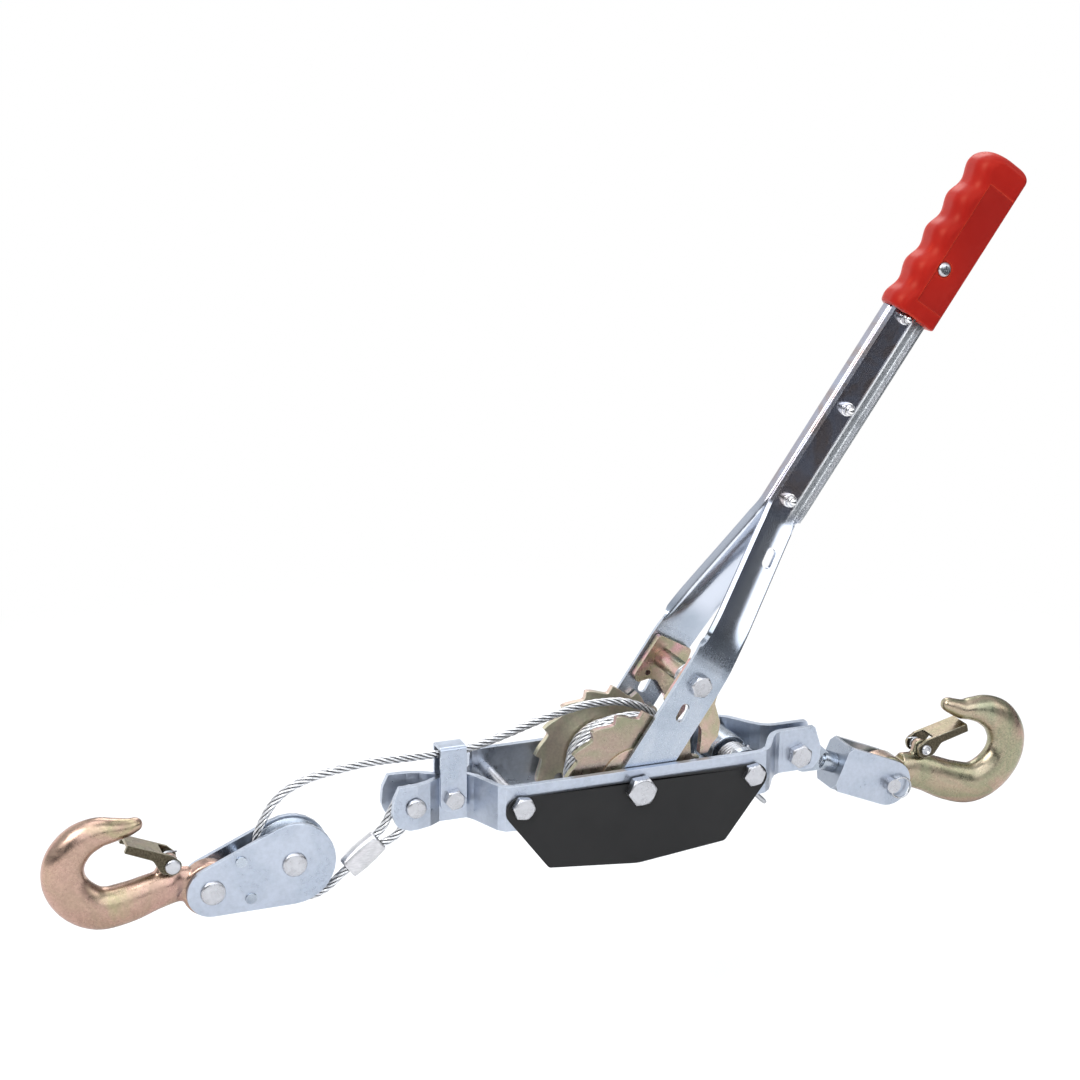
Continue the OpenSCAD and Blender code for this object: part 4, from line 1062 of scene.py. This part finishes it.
def dome(center, radius, y, height, sign):
    """Slightly domed, soft edged rivet head."""
    profile = [(0, height), (radius * 0.35, height), (radius * 0.70, height * 0.97),
               (radius * 0.88, height * 0.86), (radius * 0.97, height * 0.62),
               (radius, height * 0.35), (radius, 0), (0, -0.2)]
    return lathe(profile, 56, center, y, sign)


def add_fastener(name, body, node, solids, sharp, place=None, material=None):
    solid = join_solids(solids)
    piece = mesh_obj(name, moved(place, solid) if place else solid)
    smooth_angle(piece, sharp)
    finish_piece(piece, body, "fastener", node, material)


def build_bolts_and_nuts():
    for (name, node, _, _, body, places, radius, grip, flats, height, beyond, within, pitch,
         _, _) in JOINTS:
        solids = []
        for center, turn, _ in places:
            solids += bolt_solids(center, radius, flats, height, -grip, grip + beyond, turn,
                                  grip - within, pitch)
        add_fastener(name + "_part", body, node, solids, sharp=28)
    for _, _, name, node, body, places, radius, grip, *_, flats, height in JOINTS:
        solids = [nut_solid(center, radius, flats, grip, height, turn)
                  for center, _, turn in places]
        add_fastener(name + "_part", body, node, solids, sharp=28)


def build_rivets():
    block_y = 8.3
    # node, body, centre, head radius, head height, y of the head's seat, shank radius
    for node, body, center, radius, height, y, shank in (
            ("anchor_rivet", "frame", ANCHOR, 5.8, 2.1, 12.5, ANCHOR_SHANK),
            ("sheave_rivet", "block", BLOCK_SHEAVE, 7.1, 1.9, block_y, 5.6),
            ("hook_rivet", "block", BLOCK_HOOK, 7.1, 1.9, block_y, 5.6)):
        solids = [dome(center, radius, y, height, 1), dome(center, radius, -y, height, -1),
                  lathe([(shank, 0), (shank, 2 * y)], 48, center, -y)]
        add_fastener(node + "_part", body, node, solids, sharp=40)

    # latch rivets: plain dome on one side, rolled ring on the other
    ring = [(0, 0.5), (1.5, 0.5), (1.9, 0.9), (2.3, 1.5), (2.8, 1.5), (3.3, 1.0), (3.4, 0.4),
            (3.3, 0), (0, -0.2)]
    for end, scale, place, side in HOOK_ENDS:
        center = scaled_latch(scale)
        solids = [dome(center, 4.3, -8.35 * side, 1.55, -side),
                  lathe([(2.4, 0), (2.4, 16.9)], 40, center, -8.45),
                  lathe(ring, 48, center, 8.35 * side, side)]
        add_fastener(f"{end}_latch_rivet_part", f"{end}_hook", f"{end}_latch_rivet", solids,
                     sharp=45, place=place)

    # handle fasteners: flange and rolled collar on the near side, domed head on the far side
    collar = [(0, 7.4), (0.9, 7.35), (1.7, 7.0), (2.2, 6.4), (2.4, 5.8), (2.4, 4.6), (3.2, 4.4),
              (3.5, 4.0), (3.5, 1.9), (4.0, 1.7), (4.1, 1.3), (4.1, 0.02), (0, 0.0)]
    solids = []
    for distance in HANDLE_RIVETS:
        center = (0, distance)
        solids += [lathe(collar, 48, center, -2.0, -1), dome(center, 5.2, 2.3, 2.6, 1),
                   lathe([(3, 0), (3, 4.8)], 40, center, -2.4)]
    add_fastener("handle_fasteners", "handle", "handle_rivets", solids, sharp=38,
                 place=HANDLE_PLACE, material=MAT["rivet_bright"])


# ------------------------------------------------------------ handle
# In the handle's own frame X is across, Z is the distance from the axle.
# outer face of an arm: distance from the axle, y
ARM = [(-16, ARM_Y), (78, ARM_Y), (84, 27.5), (90, 26.4), (97, 24.3), (158, 6.6), (165, 4.6),
       (171, 3.1), (175.5, 2.5), (180, SHEET), (HANDLE_END, SHEET)]
# edges of the channel: distances from the axle, then x at each
LEFT_EDGE = ([-16, 0, 70, 80, 110, 176, 357], [-13, -13, -13, -13, -12.6, -12, -12])
RIGHT_EDGE = ([-16, 0, 70, 110, 176, 357], [14.4, 14.4, 14.4, 12.9, 12.4, 12.4])
# holes through both channels: distance from the axle, radius
HANDLE_HOLES = ([(0, 5.05), (DRIVE_PIVOT, 4.05)] + [(z, 3.05) for z in HANDLE_RIVETS]
                + [(GRIP_SCREW, 2.25)])
# slots: centres of the two round ends, radius
HANDLE_SLOTS = [((1.0, 46.6), (0.4, 52.6), 2.8), ((5.6, 148), (5.6, 154.6), 3.0)]


def arm_y(distance):
    """Outer face of the arm, its bends softened over 10 mm."""
    distances, faces = zip(*ARM)
    if distance <= 84 or distance >= 171:
        return float(np.interp(distance, distances, faces))
    window = np.linspace(-5, 5, 11)
    return float(np.mean([np.interp(distance + w, distances, faces) for w in window]))


def channel_row(side, distance):
    """Middle of the sheet across one channel; side is -1 near, +1 far."""
    count, lip_height, bend, inset = 44, 3.4, 2.2, 1.0
    left, right = (float(np.interp(distance, *edge)) for edge in (LEFT_EDGE, RIGHT_EDGE))
    middle = (left + right) / 2
    cup = (2.5 - 1.9 * step01(distance, 168, 180)) * step01(distance, 84, 112)
    # the left lip starts at the splay, the right one only above it
    left_lip = lip_height * step01(distance, 88, 97)
    right_lip = lip_height if distance > 176.5 else 0.0
    line = []
    for j in range(count):
        x = left + inset + (right - left - 2 * inset) * j / (count - 1)
        depth = cup * ((x - middle) / ((right - left) / 2)) ** 2
        for from_edge, lip in ((x - left - inset, left_lip), (right - inset - x, right_lip)):
            if from_edge < bend:
                part = 1 - from_edge / bend
                depth += (1 - math.sqrt(max(0, 1 - part * part))) * lip * 0.62
        if side < 0:
            depth += 0.55 * step01(x, 5.3, 6.1) * step01(distance, 177, 184)
        line.append((x, depth))
    line.insert(0, (left + 0.2, line[0][1] + left_lip * 0.52 + 0.02))
    line.append((right - 0.2, line[-1][1] + right_lip * 0.52 + 0.02))
    outer = arm_y(distance)
    return [(x, side * (outer - SHEET / 2 + depth), distance) for x, depth in line]


def slot_outline(start, end, radius):
    angle = math.degrees(math.atan2(end[1] - start[1], end[0] - start[0]))
    return (arc(end, radius, [angle - 90 + 15 * i for i in range(13)])
            + arc(start, radius, [angle + 90 + 15 * i for i in range(13)]))


def build_handle():
    """Two pressed channels, splayed apart round the wheels and closed together above."""
    distances = list(np.arange(-16, 90, 2.0)) + list(np.arange(90, 357.01, 1.6))
    distances = [z for z in distances if z < 356.6] + [HANDLE_END]
    end_radius, steps = 13.6, 24
    end_arc = [(0.7 - end_radius * math.cos(math.pi * i / steps),
                -end_radius * math.sin(math.pi * i / steps)) for i in range(steps + 1)]
    round_end = [(-30, 0)] + end_arc + [(30, 0), (30, -40), (-30, -40)]
    for side, label in ((-1, "near"), (1, "far")):
        rows = [channel_row(side, z) for z in distances]
        faces = ring_faces(len(rows), len(rows[0]), closed=False)
        channel = mesh_obj(f"handle_trough_{label}", ([v for row in rows for v in row], faces))
        solidify = channel.modifiers.new("solid", "SOLIDIFY")
        solidify.thickness = SHEET * MM
        solidify.offset = 0
        solidify.use_even_offset = True
        bake(channel)
        carve(channel, prism(round_end, -60, 60))
        y_start, y_end = (-60, -0.01) if side < 0 else (0.01, 60)
        for z, radius in HANDLE_HOLES:
            drill(channel, (0, z), radius, y_start, y_end, 40)
        for slot in HANDLE_SLOTS:
            carve(channel, prism(slot_outline(*slot), y_start, y_end))
        channel.data.transform(HANDLE_PLACE)
        smooth_angle(channel, 32)
        bevel(channel, 0.35, 50)
        finish_piece(channel, "handle", "zinc_plate", f"handle_channel_{label}",
                     MAT["handle_zinc"])


# ------------------------------------------------------------ grip
GRIP_HALF = 11.8                  # half thickness along Y
GRIP_START = 312.6
GRIP_TOP = 419.0


def corner_inset(distance, radius):
    """How far a rounded edge draws in at a distance from the end."""
    if distance >= radius:
        return 0.0
    return radius - math.sqrt(max(0.0, radius * radius - (radius - distance) ** 2))


def rounded_section(left, right, half, left_radius, right_radius, steps=12):
    """Closed (x, y) outline with rounded corners."""
    rad = min(left_radius, half, (right - left) / 2)
    points = []
    for x, y, radius, start in ((left + rad, -half + rad, rad, 180),
                                (right - right_radius, -half + right_radius, right_radius, 270),
                                (right - right_radius, half - right_radius, right_radius, 0),
                                (left + rad, half - rad, rad, 90)):
        points += arc((x, y), radius, [start + 90 * i / steps for i in range(steps + 1)])
    return points


def box(x_range, y_range, z_range):
    verts = [(x, y, z) for x in x_range for y in y_range for z in z_range]
    faces = [(0, 1, 3, 2), (4, 6, 7, 5), (0, 4, 5, 1), (2, 3, 7, 6), (0, 2, 6, 4), (1, 5, 7, 3)]
    return mesh_obj("tool", (verts, faces))


def build_grip():
    """Moulding with finger waves on the left, a socket for the channels and side recesses."""
    start_radius = 1.5
    stations = list(np.linspace(GRIP_START, GRIP_START + start_radius, 6))
    stations += list(np.arange(GRIP_START + 2.4, GRIP_TOP - 10, 1.1))
    stations += list(GRIP_TOP - 9.0 * (1 - np.sin(np.linspace(0, math.pi / 2, 16))))
    rings = []
    for z in sorted(set(round(float(z), 4) for z in stations if z <= GRIP_TOP)):
        below_top = GRIP_TOP - z
        low = corner_inset(z - GRIP_START, start_radius)
        wave = 1.5 * math.cos(2 * math.pi * (z - 317.8) / 22.45)
        left = -14.9 - wave + corner_inset(below_top, 8.0) + low
        right = 17.0 - corner_inset(below_top, 6.5) - low
        half = GRIP_HALF - corner_inset(below_top, 5.0) - low
        rings.append([(x, y, z) for x, y in rounded_section(left, right, half, 9.0, 4.0)])
    grip = mesh_obj("grip_moulding", rings_solid(rings))
    cut(grip, box((-12.3, 12.7), (-5.95, 5.95), (300, 357.4)))
    for y_range in ((-GRIP_HALF - 2, -GRIP_HALF + 0.75), (GRIP_HALF - 0.75, GRIP_HALF + 2)):
        recess = box((-5.2, 20.0), y_range, (322, 401))
        bevel(recess, 1.2, 40, 3)
        bake(recess)
        cut(grip, recess)
    drill(grip, (0, GRIP_SCREW), 2.3, -30, 9, 32)
    drill(grip, (0, HANDLE_RIVETS[-1]), 5.6, -10.6, 6.2, 40)
    # shallow seat round the screw
    seat = [(4.9, 0), (5.3, 0.6), (5.3, 3)]
    carve(grip, lathe(seat, 48, (0, GRIP_SCREW), -GRIP_HALF + 1.15, -1))
    grip.data.transform(HANDLE_PLACE)
    smooth_angle(grip, 38)
    bevel(grip, 0.30, 45)
    finish_piece(grip, "handle", "grip_red", "grip")


def build_grip_screw():
    """Pan head screw with a cross recess."""
    y_seat = -GRIP_HALF + 1.1
    profile = [(0, 2.0), (1.6, 1.98), (2.8, 1.75), (3.6, 1.3), (4.2, 0.6), (4.4, 0.0),
               (2.2, -0.02), (2.2, -19.6), (0, -20.2)]
    screw = mesh_obj("grip_screw_part", lathe(profile, 48, (0, GRIP_SCREW), y_seat, -1))
    length, width = 2.4, 0.42
    faces = [(0, 1, 2, 3), (7, 6, 5, 4), (0, 4, 5, 1), (1, 5, 6, 2), (2, 6, 7, 3), (3, 7, 4, 0)]
    for degrees in (20, 110):
        cos, sin = math.cos(math.radians(degrees)), math.sin(math.radians(degrees))
        corners = [(along * cos - across * sin, along * sin + across * cos)
                   for along, across in ((-length, -width), (length, -width),
                                         (length, width), (-length, width))]
        verts = [(x, y_seat - depth, GRIP_SCREW + z) for depth in (0.7, 3.5) for x, z in corners]
        carve(screw, (verts, faces))
    screw.data.transform(HANDLE_PLACE)
    smooth_angle(screw, 35)
    finish_piece(screw, "handle", "fastener", "grip_screw")


def build_release():
    """Bent rod on the holding pawl, running along Y and turned down at the near side."""
    turn = math.radians(5.2)
    cos, sin = math.cos(turn), math.sin(turn)
    # the rod's place before the pawl's turn, from the pawl's pivot
    off_x, off_z = 76 - HOLD_PIVOT[0], -16.6 - HOLD_PIVOT[1]
    rod_x = HOLD_PIVOT[0] + off_x * cos - off_z * sin
    rod_z = HOLD_PIVOT[1] + off_x * sin + off_z * cos
    # stations: x from the rod's line, y, z from the rod's line
    stations = [(0, 25.6, 0), (0, 10, 0), (0, -8, 0), (0, -16.4, 0), (1.0, -18.2, -0.9),
                (5, -18.8, -4.6), (11.5, -18.8, -11)]
    points = curve([(rod_x + x, y, rod_z + z) for x, y, z in stations], 8)
    radii = [1.0, 1.4] + [1.5] * (len(points) - 4) + [1.4, 1.0]
    rod = mesh_obj("release_rod", tube(points, radii, 20, ref=(1, 0, 1)))
    finish_piece(rod, "holding_pawl", "spring_wire", "release_lever")


# ------------------------------------------------------------ pieces that keep their CAD shape
EDGE_WIDTHS = {
    "side_plate_near": 0.5, "side_plate_far": 0.5, "cover_plate_near": 0.4,
    "cover_plate_far": 0.4, "cable_guide_strap": 0.35, "ratchet_wheel_near": 0.3,
    "ratchet_wheel_far": 0.3, "drive_pawl": 0.4, "holding_pawl": 0.4, "rear_link": 0.5,
    "clevis": 1.15, "block_plate_near": 0.5, "block_plate_far": 0.5, "front_latch": 0.25,
    "rear_latch": 0.25, "drive_pawl_tube": 0.3, "holding_pawl_tube": 0.6, "block_studs": 0.3,
    "clevis_pin": 0.5, "sheave": 0.4, "axle_washers": 0.15, "drum_core": 0.3,
    "drum_thrust_washers": 0.15}


def dress_cad():
    """Soft broken edges on the sheet and machined parts."""
    for name, width in EDGE_WIDTHS.items():
        piece = NODE[name]
        weld = piece.modifiers.new("weld", "WELD")
        weld.merge_threshold = 2e-6
        flat = piece.modifiers.new("flat", "DECIMATE")
        flat.decimate_type = "DISSOLVE"
        flat.angle_limit = math.radians(0.6)
        bevel(piece, width, 32)
        normals = piece.modifiers.new("normals", "WEIGHTED_NORMAL")
        normals.keep_sharp = True
    # the wheels get their painted shade and light copies, the clevis its painted shade
    for name, material in (("ratchet_wheel_near", "wheel_near"),
                           ("ratchet_wheel_far", "wheel_far"), ("clevis", "zinc_clevis")):
        paint(NODE[name], MAT[material])


build_rope()
build_sleeve()
build_hook(HOOK_ENDS[0], "hook_copper", eye_radius=16, eye_half=5.1, bore=5.65, beak=BEAK_SHORT)
build_hook(HOOK_ENDS[1], "hook_gold", eye_radius=15.4, eye_half=7.6, bore=4.55, beak=BEAK_LONG)
build_springs()
build_bolts_and_nuts()
build_rivets()
build_handle()
build_grip()
build_grip_screw()
build_release()
dress_cad()


# ------------------------------------------------------------ camera, light, floor (metres)
def make_camera():
    """Long lens from the front left, a little above."""
    azimuth, elevation, roll = map(math.radians, (-21.74, 16.37, 0.55))
    back = Vector((math.sin(azimuth) * math.cos(elevation),
                   -math.cos(azimuth) * math.cos(elevation), math.sin(elevation)))
    right = Vector((math.cos(azimuth), math.sin(azimuth), 0))
    up = back.cross(right)
    rolled_right = right * math.cos(roll) + up * math.sin(roll)
    rolled_up = -right * math.sin(roll) + up * math.cos(roll)
    data = bpy.data.cameras.new("camera")
    data.sensor_fit = "HORIZONTAL"
    data.sensor_width = 36
    data.lens = 75.6273333
    data.clip_start = 0.05
    data.clip_end = 30
    camera = add_object("camera", data)
    matrix = Matrix((rolled_right, rolled_up, back)).transposed().to_4x4()
    matrix.translation = (-0.50068, -1.13173, 0.50195)
    camera.matrix_world = matrix
    bpy.context.scene.camera = camera


def area(name, location, target, size, power):
    data = bpy.data.lights.new(name, "AREA")
    data.energy = power
    data.size = size
    light = add_object(name, data)
    light.location = location
    light.rotation_mode = "QUATERNION"
    aim = Vector(target) - Vector(location)
    light.rotation_quaternion = aim.to_track_quat("-Z", "Y")


def floor_material():
    """Near white; reflections see bright and dark zones, the camera sees white far out."""
    mat = Material("floor")
    mat.color = mat.ramp(mat.noise(scale=1.5, detail=2, rough=0.55),
                         [(0.3, (0.93, 0.93, 0.93)), (0.7, (0.96, 0.96, 0.96))])
    mat.finish(Roughness=0.8, Specular_IOR_Level=0.1)
    place = mat.split(mat.object)
    path = mat.node("ShaderNodeLightPath").outputs

    def emission(color, strength):
        return mat.node("ShaderNodeEmission", Color=color, Strength=strength).outputs[0]

    # dark zone to the right and front
    far = mat.math("SUBTRACT", place["X"], mat.mul(place["Y"], 0.8))
    far = mat.remap(far, span=(0.60, 0.72), smooth=True)
    dark_amount = mat.mul(path["Is Glossy Ray"], far)
    # bright zones at the front and at the left
    front = mat.remap(place["Y"], span=(-0.40, -0.50), smooth=True)
    left = mat.remap(place["X"], span=(-0.32, -0.50), into=(0.0, 0.75), smooth=True)
    bright_amount = mat.mul(path["Is Glossy Ray"], mat.math("MAXIMUM", front, left))
    distance = mat.vector_math("LENGTH", mat.vector_math("MULTIPLY", mat.object, (1, 1, 0)))
    away = mat.remap(distance, span=(0.42, 1.1), smooth=True)
    white_amount = mat.mul(path["Is Camera Ray"], away)
    shader = mat.mix_shader(bright_amount, mat.surface.outputs[0],
                            emission(color=(1.0, 1.0, 1.0), strength=1.7))
    shader = mat.mix_shader(white_amount, shader, emission(color=(1.0, 1.0, 1.0), strength=1.0))
    shader = mat.mix_shader(dark_amount, shader,
                            emission(color=(0.065, 0.07, 0.085), strength=1.0))
    mat.put(mat.output.inputs[0], shader)
    return mat.material


def make_floor():
    """A floor that sweeps up into a wall behind the tool."""
    level = cad_lo.z - 0.0006
    half_width, back, rise, sweep_radius, segments = 4.0, 2.6, 2.6, 1.0, 24
    rows = [(-half_width, 0.0), (back - sweep_radius, 0.0)]
    for i in range(1, segments + 1):
        angle = math.pi / 2 * i / segments
        rows.append((back - sweep_radius + sweep_radius * math.sin(angle),
                     sweep_radius * (1.0 - math.cos(angle))))
    rows.append((back, rise))
    verts = [(x, y, level + height) for y, height in rows for x in (-half_width, half_width)]
    mesh = bpy.data.meshes.new("floor")
    mesh.from_pydata(verts, [], ring_faces(len(rows), 2, closed=False))
    for polygon in mesh.polygons:
        polygon.use_smooth = True
    floor = add_object("floor", mesh)
    mesh.materials.append(floor_material())
    # reflections see the floor close under the tool, everything else sees it lower, so parts
    # that swing down stay above it
    near = add_object("floor_reflections", mesh)
    near.visible_camera = False
    near.visible_diffuse = False
    near.visible_shadow = False
    near.visible_transmission = False
    floor.location.z = -0.16
    floor.visible_glossy = False


def make_world():
    """Studio surround: bright above, dim low at the front; the camera sees plain white."""
    world = bpy.data.worlds.new("studio")
    bpy.context.scene.world = world
    world.use_nodes = True
    nodes = Nodes(world.node_tree)
    output = nodes.node("ShaderNodeOutputWorld")
    path = nodes.node("ShaderNodeLightPath").outputs
    direction = nodes.node("ShaderNodeTexCoord").outputs["Generated"]
    axes = nodes.split(direction)
    above = nodes.remap(axes["Z"], span=(0.05, 0.75), into=(0.62, 1.25), smooth=True)
    front = nodes.remap(axes["Y"], span=(-0.25, -0.80), into=(0.0, 0.82), smooth=True)
    low = nodes.remap(axes["Z"], span=(0.35, 0.80), into=(1.0, 0.0), smooth=True)
    right = nodes.remap(axes["X"], span=(0.1, 0.8), into=(1.0, 0.62), smooth=True)
    open_front = nodes.math("SUBTRACT", 1.0, nodes.mul(front, low))
    value = nodes.mul(nodes.mul(above, open_front), right)
    # a bright patch above the front that only reflections see
    toward_patch = tuple(Vector((0.22, -0.87, 0.44)).normalized())
    patch = nodes.remap(nodes.vector_math("DOT_PRODUCT", direction, toward_patch),
                        span=(0.905, 0.955), into=(0.0, 3.0), smooth=True)
    value = nodes.add(value, nodes.mul(patch, path["Is Glossy Ray"]))
    color = nodes.node("ShaderNodeCombineColor", Red=nodes.mul(value, 0.97), Green=value,
                       Blue=nodes.mul(value, 1.05)).outputs[0]
    studio = nodes.node("ShaderNodeBackground", Color=color, Strength=0.72).outputs[0]
    seen = nodes.node("ShaderNodeBackground", Color=(1.0, 1.0, 1.0)).outputs[0]
    nodes.put(output.inputs[0], nodes.mix_shader(path["Is Camera Ray"], studio, seen))


make_camera()
make_floor()
make_world()
area("key", location=(-1.3, -1.4, 1.9), target=(0, 0, 0.05), size=1.45, power=42)
area("fill", location=(1.8, -1.2, 1.0), target=(0, 0, 0.1), size=0.9, power=5)
area("rim", location=(0.6, 1.6, 1.7), target=(0, 0, 0.1), size=1.2, power=14)
area("top", location=(0.0, -0.1, 2.2), target=(0, 0, 0), size=1.2, power=8)
view = bpy.context.scene.view_settings
view.view_transform = "Standard"
view.look = "None"
